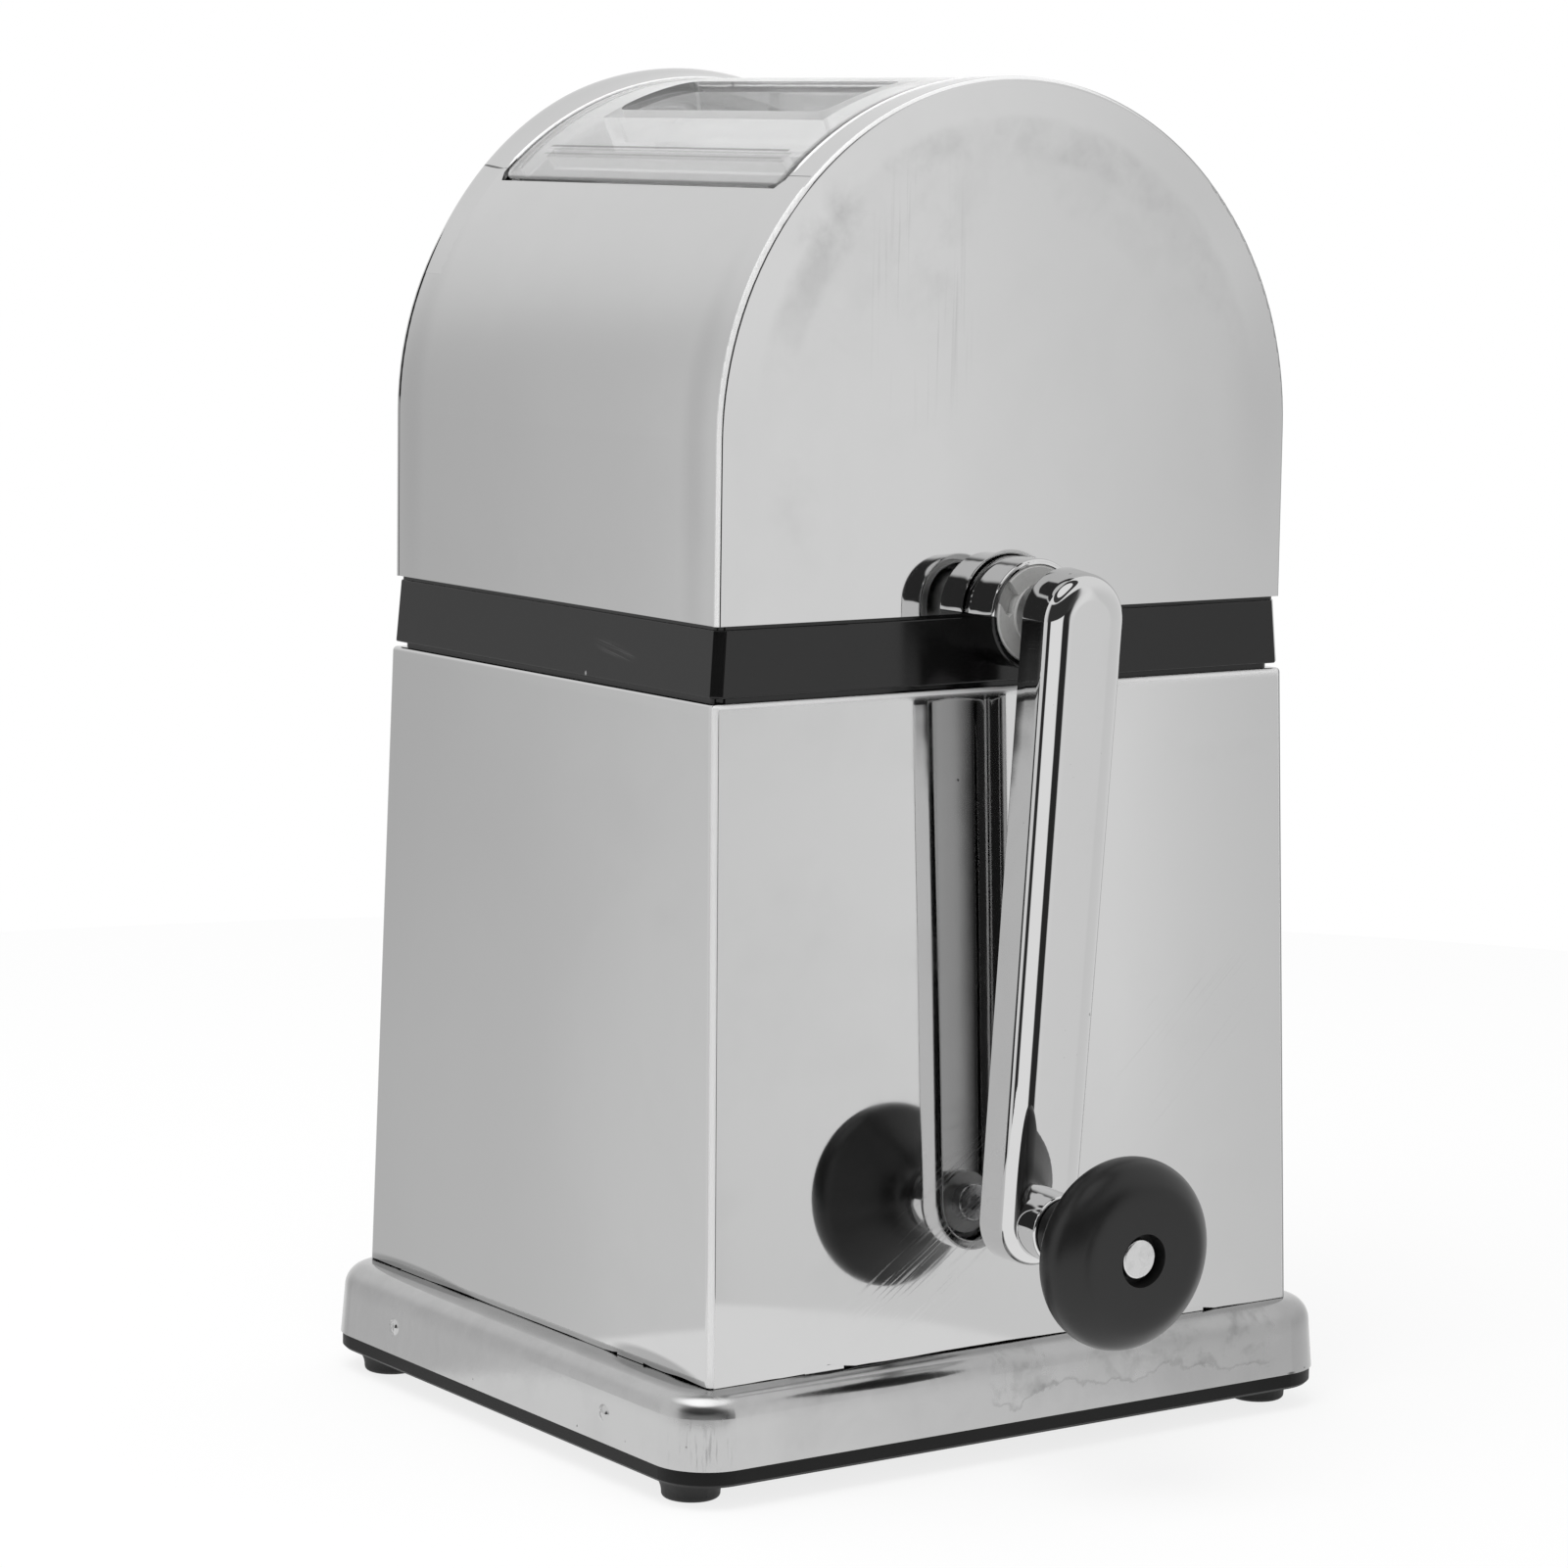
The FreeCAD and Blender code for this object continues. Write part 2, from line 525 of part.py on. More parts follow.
for side in (1, -1):
    y0 = comb_wall_y if side > 0 else -(comb_wall_y + comb_wall_thick)
    chamber = chamber.fuse(box_at(-throat_x / 2, throat_x / 2, y0, y0 + comb_wall_thick,
                                  upper_low - 1, comb_wall_top))
band = band.fuse([deck, spigot, ledge, chamber])
cap_x, cap_y, cap_high = dim("cap_screw_x"), dim("cap_screw_y"), dim("cap_height")
bulkhead_x = throat_x / 2 + bulkhead
for side in (1, -1):
    for sy in (1, -1):
        band = band.fuse(rod(post_r, V(cap_x * side, cap_y * sy, deck_top - 0.5),
                             upper_low - deck_top + 0.5))
    # floor rib from the bulkhead to the bearing posts
    rib = sorted((bulkhead_x * side, cap_x * side))
    band = band.fuse(box_at(rib[0], rib[1], -1.2, 1.2, deck_top - 0.5, axis_z - bush_body - 2.0))
boss = rod(boss_radius, V(panel_face - 2.5, 0, axis_z), dim("boss_reach") + 2.5, ALONG)
boss = boss.makeFillet(0.6, [e for e in boss.Edges if e.BoundBox.XMin > boss_end - 0.01])
boss_low = boss.common(box_at(0, boss_end + 20, -20, 20, axis_z - 20, axis_z - 0.1))
band = band.fuse(boss_low)
bore = rod(bush_body + bush_fit, V(-far_end - 1.4, 0, axis_z), far_end * 2 + 10, ALONG)
bore = bore.fuse(rod(bush_flange + bush_fit, V(panel_face + 0.3, 0, axis_z), 20, ALONG))
band = band.cut(bore.common(box_at(-far_end, boss_end + 20, -20, 20, axis_z - 20, axis_z + 20)))
comb_screw_x, comb_screw_z = dim("blade_pitch") * 1.5, axis_z - 7.0
for side in (1, -1):
    for sy in (1, -1):
        band = band.cut(rod(pilot_r, V(cap_x * side, cap_y * sy, axis_z - 10), 20))
    for sx in (1, -1):
        band = band.cut(rod(clear_r, V(comb_screw_x * sx, side * (comb_wall_y - 2), comb_screw_z), 8,
                            V(0, side, 0)))
keep("band", band.removeSplitter())

# the two bearing caps screw down on the bulkheads
cap_in, cap_out, cap_half = throat_x / 2 + 1.0, panel_face - sheet_wall - 0.9, cap_y + 4.5
cap_block = box_at(cap_in, cap_out, -cap_half, cap_half, axis_z + 0.1, axis_z + cap_high)
cap_block = cap_block.makeFillet(2.5, [e for e in cap_block.Edges if e.BoundBox.XLength > 5
                                       and e.BoundBox.ZMin > axis_z + cap_high - 0.4])
neck = rod(boss_radius - 0.3, V(cap_out - 0.5, 0, axis_z), 3.0, ALONG)
cap = cap_block.fuse(neck).fuse(boss)
cap = cap.common(box_at(0, boss_end + 20, -20, 20, axis_z + 0.1, axis_z + 20)).cut(bore)
far_cap = cap_block.mirror(V(0, 0, 0), V(1, 0, 0)).cut(bore)
for sy in (1, -1):
    cap = cap.cut(rod(clear_r, V(cap_x, cap_y * sy, axis_z - 2), 20))
    far_cap = far_cap.cut(rod(clear_r, V(-cap_x, cap_y * sy, axis_z - 2), 20))
keep("bearing_cap", cap)
keep("far_bearing_cap", far_cap)
cap_screw = pan_screw(2.9, 1.8, screw_r, 16.0, 1.6)
cap_screw.rotate(V(0, 0, 0), V(1, 0, 0), 180)
copies("cap_screws", cap_screw,
       [(cap_x * side, cap_y * sy, axis_z + cap_high) for side in (1, -1) for sy in (1, -1)])

# nylon bushes
gap, journal, collar_r = dim("running_gap"), dim("journal_radius"), dim("bush_collar")
bush_in = throat_x / 2 + 0.2
bush_bore = rod(journal + gap, V(0, 0, axis_z), 100, ALONG)
bush = rod(bush_body, V(bush_in, 0, axis_z), panel_face + 1.1 - bush_in, ALONG)
flange = rod(bush_flange, V(panel_face + 0.5, 0, axis_z), dim("boss_reach") - 0.4, ALONG)
flange = flange.makeChamfer(0.5, [e for e in flange.Edges
                                  if e.BoundBox.XMin > boss_end - 0.2 and e.BoundBox.XLength < 0.01])
bush = bush.fuse(flange)
bush = bush.fuse(rod(collar_r, V(panel_face + 2, 0, axis_z), dim("boss_reach") - 0.4, ALONG))
key_way = box_at(boss_end - 1.6, boss_end + 1, -2.2, 2.2, -3.0, 3.0)
key_way.rotate(V(0, 0, 0), V(1, 0, 0), 38)
key_way.translate(V(0, -(bush_flange - 2.65), axis_z + 3.4))
bush = bush.cut(key_way.cut(rod(collar_r + 0.2, V(panel_face - 8, 0, axis_z), 40, ALONG)))
keep("crank_bush", bush.cut(bush_bore))
far_bush = rod(bush_body, V(-far_end + 0.2, 0, axis_z), far_end - 0.2 - bush_in, ALONG)
keep("far_bush", far_bush.cut(rod(journal + gap, V(-far_end + 1.6, 0, axis_z), 40, ALONG)))

# ================================================================ HEAD: CRUSHING COMBS
def make_comb(label, side, tip, low_tip, back_low, back_high):
    """Toothed plate: one wedge tooth, repeated between the blades."""
    body = new_body(label)
    inner = comb_wall_y - dim("comb_plate_thick")
    back = new_sketch(body, label + "_plate", "YZ_Plane")
    plate_bottom, plate_peak = axis_z - 12.0, comb_wall_top - 0.5
    draw_polygon(back, [(comb_wall_y * side, plate_bottom), (comb_wall_y * side, plate_peak),
                        (inner * side, plate_peak), (inner * side, plate_bottom)])
    pad(body, back, dim("throat_x") - 0.6, both_ways=True)
    first = dim("blade_pitch") * -2.5 - dim("comb_tooth_thick") / 2
    tooth = new_sketch(body, label + "_tooth", "YZ_Plane", first)
    draw_polygon(tooth, [((inner + 0.5) * side, axis_z + back_high), (tip * side, axis_z + 0.5),
                         ((tip - 0.8) * side, axis_z - 2.4), ((tip + 1.2) * side, axis_z - low_tip),
                         ((inner + 0.5) * side, axis_z - back_low)])
    one = pad(body, tooth, dim("comb_tooth_thick"))
    holes = new_sketch(body, label + "_holes", "XZ_Plane", comb_wall_y * -side)
    for sx in (1, -1):
        draw_circle(holes, pilot_r, comb_screw_x * sx, comb_screw_z)
    row = row_of(body, one, tooth, "N_Axis", dim("blade_pitch") * 5, 6)
    drilled = pocket(body, holes, dim("comb_plate_thick") + 2.2, backwards=(side > 0))
    body.Tip = drilled
    doc.recompute()
    return body


make_comb("comb_front", -1, dim("coarse_tip"), 5.5, 10.0, 6.5)
make_comb("comb_rear", 1, dim("fine_tip"), 6.0, 11.2, 8.5)
comb_screw = pan_screw(2.8, 1.6, screw_r, comb_wall_thick + 3.6, 1.5)
near_screw = comb_screw.copy()
near_screw.rotate(V(0, 0, 0), V(1, 0, 0), -90)
rear_screw = comb_screw.copy()
rear_screw.rotate(V(0, 0, 0), V(1, 0, 0), 90)
outer_wall = comb_wall_y + comb_wall_thick
screws = []
for sx in (1, -1):
    for side, one in ((-1, near_screw), (1, rear_screw)):
        placed = one.copy()
        placed.translate(V(comb_screw_x * sx, outer_wall * side, comb_screw_z))
        screws.append(placed)
keep("comb_screws", Part.makeCompound(screws))

# ================================================================ HEAD: HOPPER
hopper_low = comb_wall_top + dim("hopper_gap")
hopper_mid = hopper_low + dim("hopper_flare")
hopper_top = hopper_mid + dim("hopper_upright")
hw = dim("hopper_wall")
hx0, hy0, hx1, hy1 = throat_x, comb_wall_y * 2 - 0.4, dim("window_x") - hw * 2, dim("hopper_top_y")
funnel = tapered((hx0 + hw * 2, hy0 + hw * 2, 3.0, hopper_low),
                 (hx1 + hw * 2, hy1 + hw * 2, 4.0, hopper_mid))
funnel = funnel.fuse(tapered((hx1 + hw * 2, hy1 + hw * 2, 4.0, hopper_mid),
                             (hx1 + hw * 2, hy1 + hw * 2, 4.0, hopper_top)))
chute = tapered((hx0, hy0, 1.2, hopper_low - 0.01), (hx1, hy1, 2.2, hopper_mid))
chute = chute.fuse(tapered((hx1, hy1, 2.2, hopper_mid), (hx1, hy1, 2.2, hopper_top + 0.1)))
hopper = funnel.cut(chute)
leg_half = hy0 / 2 - 1.0
for side in (1, -1):
    leg = sorted((hx0 / 2 * side, (hx0 / 2 + hw) * side))
    hopper = hopper.fuse(box_at(leg[0], leg[1], -leg_half, leg_half, axis_z + cap_high + 0.3,
                                hopper_low + 0.5))
keep("hopper", hopper.removeSplitter())

# ================================================================ HEAD: UPPER SHEET METAL
arch_z = upper_low + dim("cover_drop")
half_sheet = panel_face - sheet_wall - 0.1
window_x = dim("window_x")


def on_arch(angle, radius):
    """Point (y, z) on the arch; the angle runs from the front horizontal upwards."""
    turned = math.radians(angle)
    return -radius * math.cos(turned), arch_z + radius * math.sin(turned)


def arc_wedge(r_in, r_out, a0, a1, x0, x1):
    """Part of a tube about the arch axis between two angles."""
    y0, z0 = on_arch(a0, r_in)
    y1, z1 = on_arch(a0, r_out)
    face = Part.Face(Part.makePolygon([V(x0, y0, z0), V(x1, y0, z0), V(x1, y1, z1), V(x0, y1, z1),
                                       V(x0, y0, z0)]))
    return face.revolve(V(0, 0, arch_z), V(-1, 0, 0), a1 - a0)


def wrap_sheet(label, side, end_angle):
    """Front or back cover: flat lower part, then bent round the arch."""
    body = new_body(label)
    profile = new_sketch(body, label + "_profile", "YZ_Plane")
    outer, inside_r = arch_r, arch_r - sheet_wall
    a = math.radians(end_angle)
    ends = (math.pi - a, math.pi) if side < 0 else (0.0, a)
    centre = V(0, float(arch_z), 0)
    big = profile.addGeometry(Part.ArcOfCircle(Part.Circle(centre, V(0, 0, 1), float(outer)),
                                               ends[0], ends[1]), False)
    small = profile.addGeometry(Part.ArcOfCircle(Part.Circle(centre, V(0, 0, 1), float(inside_r)),
                                                 ends[0], ends[1]), False)
    level = 2 if side < 0 else 1
    tip = 1 if side < 0 else 2
    low_out = V(side * float(outer), float(upper_low), 0)
    low_in = V(side * float(inside_r), float(upper_low), 0)
    knee_out = V(side * float(outer), float(arch_z), 0)
    knee_in = V(side * float(inside_r), float(arch_z), 0)
    drop_out = profile.addGeometry(Part.LineSegment(knee_out, low_out), False)
    foot_line = profile.addGeometry(Part.LineSegment(low_out, low_in), False)
    drop_in = profile.addGeometry(Part.LineSegment(low_in, knee_in), False)
    far = V(side * float(outer) * math.cos(a), float(arch_z) + float(outer) * math.sin(a), 0)
    near = V(side * float(inside_r) * math.cos(a), float(arch_z) + float(inside_r) * math.sin(a), 0)
    cap_line = profile.addGeometry(Part.LineSegment(near, far), False)
    for first, p1, second, p2 in ((big, level, drop_out, 1), (drop_out, 2, foot_line, 1),
                                  (foot_line, 2, drop_in, 1), (drop_in, 2, small, level),
                                  (small, tip, cap_line, 1), (cap_line, 2, big, tip)):
        profile.addConstraint(Sketcher.Constraint("Coincident", first, p1, second, p2))
    pin_point(profile, big, 3, 0.0, arch_z)
    pin_point(profile, small, 3, 0.0, arch_z)
    pin_point(profile, drop_out, 1, outer * side, arch_z)
    pin_point(profile, drop_out, 2, outer * side, upper_low)
    pin_point(profile, drop_in, 1, inside_r * side, upper_low)
    pin_point(profile, drop_in, 2, inside_r * side, arch_z)
    rise = profile.addConstraint(
        Sketcher.Constraint("DistanceY", -1, 1, cap_line, 2,
                            float(arch_z) + float(outer) * math.sin(a)))
    profile.setExpression("Constraints[%d]" % rise,
                          "%s + %s * sin(%s deg)" % (arch_z.formula, outer.formula, formula_of(end_angle)))
    profile.addConstraint(Sketcher.Constraint("PointOnObject", big, 3, cap_line))
    pad(body, profile, half_sheet * 2, both_ways=True)
    doc.recompute()
    return body


seam, back_seam = dim("seam_angle"), dim("back_seam")
front = wrap_sheet("front_wrap", -1, float(seam))
back = wrap_sheet("back_wrap", 1, 180.0 - float(back_seam))

# the lid window bites into the top edge of the front cover: rounded lower corners
notch = new_sketch(front, "WindowNotch", "XY_Plane", arch_z + 35)
front_y, front_z = on_arch(dim("window_front"), arch_r)
back_y, back_z = on_arch(seam + 6, arch_r - 3)
draw_polygon(notch, [(-window_x / 2, Size(back_y)), (-window_x / 2, Size(front_y + 1.6)),
                     (-window_x / 2 + 1.6, Size(front_y)), (window_x / 2 - 1.6, Size(front_y)),
                     (window_x / 2, Size(front_y + 1.6)), (window_x / 2, Size(back_y))])
pocket(front, notch, 30.0, backwards=True)
doc.recompute()

# top frame: two side rails with guide skirts, closed by a bridge behind the lid
hinge_y, hinge_z = on_arch(dim("hinge_angle"), arch_r - dim("hinge_drop"))
pin_radius = dim("hinge_pin_radius")
frame_in, lid_in = arch_r - sheet_wall, arch_r - dim("lid_wall")
half_window = window_x / 2
pieces = []
for side in (1, -1):
    rail = sorted((half_window * side, half_sheet * side))
    skirt = sorted((half_window * side + 0.4 * side, half_window * side + 1.6 * side))
    shelf = sorted((half_window * side - 1.4 * side, half_window * side + 0.6 * side))
    pieces.append(arc_wedge(frame_in, arch_r, seam + 0.1, back_seam - 0.1, *rail))
    pieces.append(arc_wedge(arch_r - 7.4, frame_in + 0.1, seam + 0.1, back_seam - 2, *skirt))
    pieces.append(arc_wedge(lid_in - 1.8, lid_in - 0.4, seam + 0.6, dim("hinge_angle") - 6, *shelf))
pieces.append(arc_wedge(frame_in, arch_r, dim("window_back"), back_seam - 0.1,
                        -half_window - 0.5, half_window + 0.5))
pieces.append(arc_wedge(arch_r - 4.9, frame_in + 0.1, dim("window_back") + 2, dim("window_back") + 3.2,
                        -half_window - 0.5, half_window + 0.5))
lid_frame = pieces[0].fuse(pieces[1:])
lid_frame = lid_frame.cut(rod(pin_radius + 0.03, V(-window_x, hinge_y, hinge_z), window_x * 2, ALONG))
keep("lid_frame", lid_frame.removeSplitter())
hinge_pin = rod(pin_radius, V(-half_window - 2.4, hinge_y, hinge_z), window_x + 4.8, ALONG)
hinge_pin = hinge_pin.makeChamfer(0.4, [e for e in hinge_pin.Edges if e.BoundBox.XLength < 0.01])
keep("hinge_pin", hinge_pin)


def arch_panel(label, inner_face, outward, cut_boss):
    """Flat side panel with the arch outline and a softly rolled edge."""
    body = new_body(label)
    plan = new_sketch(body, label + "_plan", "YZ_Plane", inner_face)
    r = arch_r + dim("rim_over")
    arc = plan.addGeometry(Part.ArcOfCircle(Part.Circle(V(0, float(arch_z), 0), V(0, 0, 1),
                                                        float(r)), 0.0, math.pi), False)
    left = plan.addGeometry(Part.LineSegment(V(-float(r), float(arch_z), 0),
                                             V(-float(r), float(upper_low), 0)), False)
    base = plan.addGeometry(Part.LineSegment(V(-float(r), float(upper_low), 0),
                                             V(float(r), float(upper_low), 0)), False)
    right = plan.addGeometry(Part.LineSegment(V(float(r), float(upper_low), 0),
                                              V(float(r), float(arch_z), 0)), False)
    for first, p1, second, p2 in ((arc, 2, left, 1), (left, 2, base, 1), (base, 2, right, 1),
                                  (right, 2, arc, 1)):
        plan.addConstraint(Sketcher.Constraint("Coincident", first, p1, second, p2))
    pin_point(plan, arc, 3, 0.0, arch_z)
    pin_point(plan, left, 1, -r, arch_z)
    pin_point(plan, left, 2, -r, upper_low)
    pin_point(plan, right, 1, r, upper_low)
    level = plan.addConstraint(Sketcher.Constraint("DistanceY", -1, 1, right, 2, float(arch_z)))
    plan.setExpression("Constraints[%d]" % level, arch_z.formula)
    sheet_pad = pad(body, plan, sheet_wall, backwards=(outward < 0))
    face_x = float(panel_face) * outward

    def rolled(edge):
        box = edge.BoundBox
        return abs(box.XMin - face_x) < 1e-4 and box.XLength < 1e-4 and box.ZLength > 5

    last = sheet_pad
    if cut_boss:
        bite = new_sketch(body, label + "_bite", "YZ_Plane", inner_face - 1)
        draw_circle(bite, boss_radius + 0.15, 0.0, axis_z)
        last = pocket(body, bite, 5.0, backwards=True)
    round_edges(body, last, dim("panel_roll"), rolled)
    doc.recompute()
    return body


arch_panel("crank_side_panel", panel_face - sheet_wall, 1, True)
arch_panel("plain_side_panel", -(panel_face - sheet_wall), -1, False)

# ================================================================ LID
lid_r = arch_r - 0.1
half_lid = window_x / 2 - dim("lid_side_gap")
lid_front, lid_back = dim("lid_front"), dim("lid_back")
grip_half = dim("grip_x") / 2
grip_floor = lid_r - dim("grip_depth")
grip_a0, grip_a1 = dim("grip_front"), dim("grip_back")


def is_long(edge, length):
    """True for an edge of just that length in a plane across X."""
    return edge.BoundBox.XLength < 0.01 and abs(edge.Length - length) < 0.02


lid = arc_wedge(lid_in, lid_r, lid_front, lid_back, -half_lid, half_lid)
lid = lid.makeFillet(4.0, [e for e in lid.Edges if is_long(e, lid_r - lid_in) and e.BoundBox.YMax < 0])
lid = lid.fuse(arc_wedge(grip_floor - 2.0, lid_in + 0.2, grip_a0 - 2, grip_a1 + 2,
                         -grip_half - 2, grip_half + 2))
grip_top = lid_r + 3
grip = arc_wedge(grip_floor, grip_top, grip_a0, grip_a1, -grip_half, grip_half)
grip = grip.makeFillet(3.0, [e for e in grip.Edges if is_long(e, grip_top - grip_floor)])
lid = lid.cut(grip)
lid = lid.fuse(arc_wedge(lid_in - 3.0, lid_in + 0.2, lid_front + 6.2, lid_front + 8.0,
                         -(half_lid - 7.6), half_lid - 7.6))
for side in (1, -1):
    strip = sorted(((half_lid - 2.7) * side, (half_lid - 1.5) * side))
    lid = lid.fuse(arc_wedge(lid_in - 2.4, lid_in + 0.2, lid_front + 3.2, lid_back - 8, *strip))
knuckle = rod(3.3, V(-half_lid + 0.4, hinge_y, hinge_z), half_lid * 2 - 0.8, ALONG)
lid = lid.fuse(knuckle)
lid = lid.cut(rod(pin_radius + 0.07, V(-window_x, hinge_y, hinge_z), window_x * 2, ALONG))
keep("lid", lid.removeSplitter())

# ================================================================ CRUSHING ROTOR
pitch, blade_thick = dim("blade_pitch"), dim("blade_thick")
square = dim("shaft_square")
shaft_body = new_body("rotor_shaft")
bar_half = throat_x / 2 - 2.0
bar = new_sketch(shaft_body, "SquareBar", "YZ_Plane", -bar_half)
draw_box(bar, square, square, 0.0, axis_z)
bar_pad = pad(shaft_body, bar, bar_half * 2)
round_edges(shaft_body, bar_pad, 0.6,
            lambda e: e.BoundBox.XLength > 50, kind="Chamfer")
journal_start, drive_start = -(far_end - 1.8), boss_end + 2.4
arm_back_x = boss_end + dim("arm_standoff")
shaft_end = arm_back_x + dim("shaft_into_arm")
stub = new_sketch(shaft_body, "Journals", "YZ_Plane", journal_start)
draw_circle(stub, journal, 0.0, axis_z)
pad(shaft_body, stub, drive_start + 1.0 - journal_start)
drive = new_sketch(shaft_body, "ArmSquare", "YZ_Plane", drive_start)
draw_box(drive, dim("arm_square") - 0.6, dim("arm_square") - 0.6, 0.0, axis_z)
pad(shaft_body, drive, shaft_end - drive_start)
doc.recompute()

blade_count = 5
hub, tip_r = dim("blade_hub"), dim("blade_tip")
for number in range(blade_count):
    name = "blade_%d" % (number + 1)
    blade = new_body(name)
    disc = new_sketch(blade, name + "_hub", "YZ_Plane", -(blade_thick / 2))
    draw_circle(disc, hub)
    pad(blade, disc, blade_thick)
    hook = new_sketch(blade, name + "_hook", "YZ_Plane", -(blade_thick / 2),
                      dim("blade_twist") * number)
    # hooked tooth: undercut leading face, chisel point, long rounded back
    draw_polygon(hook, [(Size(1.0), hub - 3.0), (Size(4.6), hub + 1.2), (Size(7.4), hub + 4.4),
                        (Size(6.9), tip_r - 2.6), (Size(5.2), tip_r - 0.7), (Size(2.4), tip_r - 1.4),
                        (Size(-1.8), hub + 6.2), (Size(-4.6), hub + 3.0), (Size(-6.6), hub - 0.6),
                        (Size(-5.0), hub - 3.6)])
    one_hook = pad(blade, hook, blade_thick)
    ring = ring_of(blade, one_hook, hook, 4)
    backs = [math.hypot(-1.8, hub + 6.2), math.hypot(-4.6, hub + 3.0)]
    ring = round_edges(blade, ring, 3.0, lambda e: any(
        e.BoundBox.YLength < 0.01 and e.BoundBox.ZLength < 0.01 and
        abs(math.hypot(e.BoundBox.YMin, e.BoundBox.ZMin) - r) < 0.02 for r in backs))
    eye = new_sketch(blade, name + "_eye", "YZ_Plane", -(blade_thick / 2) - 1)
    draw_box(eye, square + 0.1, square + 0.1)
    eye_cut = pocket(blade, eye, blade_thick + 2, backwards=True)
    blade.Tip = eye_cut
    doc.recompute()
    # staggered so that no two blades bite together; the square eye keeps every one in step
    blade.Placement = FreeCAD.Placement(V((number - 2) * pitch, 0, axis_z), FreeCAD.Rotation())
    blade.setExpression("Placement.Base.x", "(%d) * Dims.blade_pitch" % (number - 2))
    blade.setExpression("Placement.Base.z", axis_z.formula)

washer = rod(dim("spacer_radius"), V(0, 0, axis_z), pitch - blade_thick - 0.1, ALONG)
washer = washer.cut(box_at(-1, 20, -(square + 0.1) / 2, (square + 0.1) / 2,
                           axis_z - (square + 0.1) / 2, axis_z + (square + 0.1) / 2))
copies("blade_spacers", washer,
       [((n - 2) * pitch + blade_thick / 2 + 0.05, 0, 0) for n in range(4)])
end_in = pitch * 2 + blade_thick / 2 + 0.1
end_washer = rod(dim("spacer_radius"), V(end_in, 0, axis_z), throat_x / 2 - 0.2 - end_in, ALONG)
end_washer = end_washer.cut(box_at(end_in - 1, bar_half + 0.15, -(square + 0.1) / 2, (square + 0.1) / 2,
                                   axis_z - (square + 0.1) / 2, axis_z + (square + 0.1) / 2))
end_washer = end_washer.cut(rod(journal + 0.05, V(end_in - 1, 0, axis_z), 20, ALONG))
far_washer = end_washer.mirror(V(0, 0, 0), V(1, 0, 0))
keep("end_collars", Part.makeCompound([end_washer, far_washer]))

# ================================================================ CRANK ARM
lean, swing = math.radians(dim("arm_lean")), math.radians(dim("arm_swing"))
down = V(-math.sin(lean), -math.sin(swing) * math.cos(lean), -math.cos(swing) * math.cos(lean))
outward = V(1, 0, 0) - down * down.x
outward.normalize()
sideways = outward.cross(down)
arm_frame = FreeCAD.Matrix(down.x, sideways.x, outward.x, arm_back_x,
                           down.y, sideways.y, outward.y, 0,
                           down.z, sideways.z, outward.z, axis_z, 0, 0, 0, 1)
arm_place = FreeCAD.Placement(arm_frame)
throw, arm_thick = dim("arm_throw"), dim("arm_thick")
head_r, end_r, rim_wall = dim("arm_head_radius"), dim("arm_end_radius"), dim("arm_rim")
skin = dim("arm_skin")


def arm_outline(inset, height):
    """Round-ended bar outline, head at the origin and hand end along +X."""
    r0, r1 = head_r - inset, end_r - inset
    slope = math.asin((r0 - r1) / throw)
    c, s = math.cos(slope), math.sin(slope)
    a, b = V(r0 * s, r0 * c, height), V(throw + r1 * s, r1 * c, height)
    d, e = V(r0 * s, -r0 * c, height), V(throw + r1 * s, -r1 * c, height)
    head = Part.Arc(a, V(-r0, 0, height), d).toShape()
    end = Part.Arc(b, V(throw + r1, 0, height), e).toShape()
    return Part.Face(Part.Wire([head, Part.makeLine(d, e), end, Part.makeLine(b, a)]))


# solid bar, its front edge rolled over, then hollowed from behind
arm = arm_outline(0, 0).extrude(V(0, 0, arm_thick))
arm = arm.makeFillet(dim("arm_round"), [e for e in arm.Edges
                                        if e.BoundBox.ZMin > arm_thick - 0.01])
channel = arm_outline(rim_wall, -0.01).extrude(V(0, 0, arm_thick - skin + 0.01))
channel = channel.makeFillet(dim("arm_channel_round"), [e for e in channel.Edges
                                                        if e.BoundBox.ZMin > arm_thick - skin - 0.01])
arm = arm.cut(channel)
hub_post, bolt_r, bolt_seat = 6.2, 2.0, 2.8
arm = arm.fuse(rod(hub_post, V(0, 0, 0), arm_thick - 1.0))
arm = arm.fuse(rod(hub_post - 0.2, V(throw, 0, bolt_seat), arm_thick - bolt_seat - 1.0))
arm = arm.cut(rod(bolt_r + 0.05, V(throw, 0, -1), 20))
arm.Placement = arm_place
hub_rod = rod(6.5, V(boss_end + 2.0, 0, axis_z), arm_back_x + 1.3 - boss_end - 2.0, ALONG)
arm = arm.fuse(hub_rod)
half_sq = dim("arm_square") / 2 - 0.25
arm = arm.cut(box_at(panel_face, shaft_end + 0.1, -half_sq, half_sq,
                     axis_z - half_sq, axis_z + half_sq))
arm = arm.cut(rod(journal + 0.05, V(panel_face, 0, axis_z), drive_start + 1.05 - panel_face, ALONG))
grub_x, grub_r = boss_end + 5.6, 1.5
arm = arm.cut(rod(grub_r, V(grub_x, 0, axis_z), 12, V(0, 1, 0)))
keep("crank_arm", arm.removeSplitter())
grub = rod(grub_r - 0.04, V(grub_x, half_sq, axis_z), 2.9, V(0, 1, 0))
socket = Part.makePolygon([V(grub_x + grub_r / 2 * math.cos(math.radians(60 * k)), half_sq + 3.0,
                             axis_z + grub_r / 2 * math.sin(math.radians(60 * k))) for k in range(7)])
grub = grub.cut(Part.Face(socket).extrude(V(0, -1.6, 0)))
keep("arm_set_screw", grub)


def on_arm(shape):
    shape.Placement = arm_place
    return shape


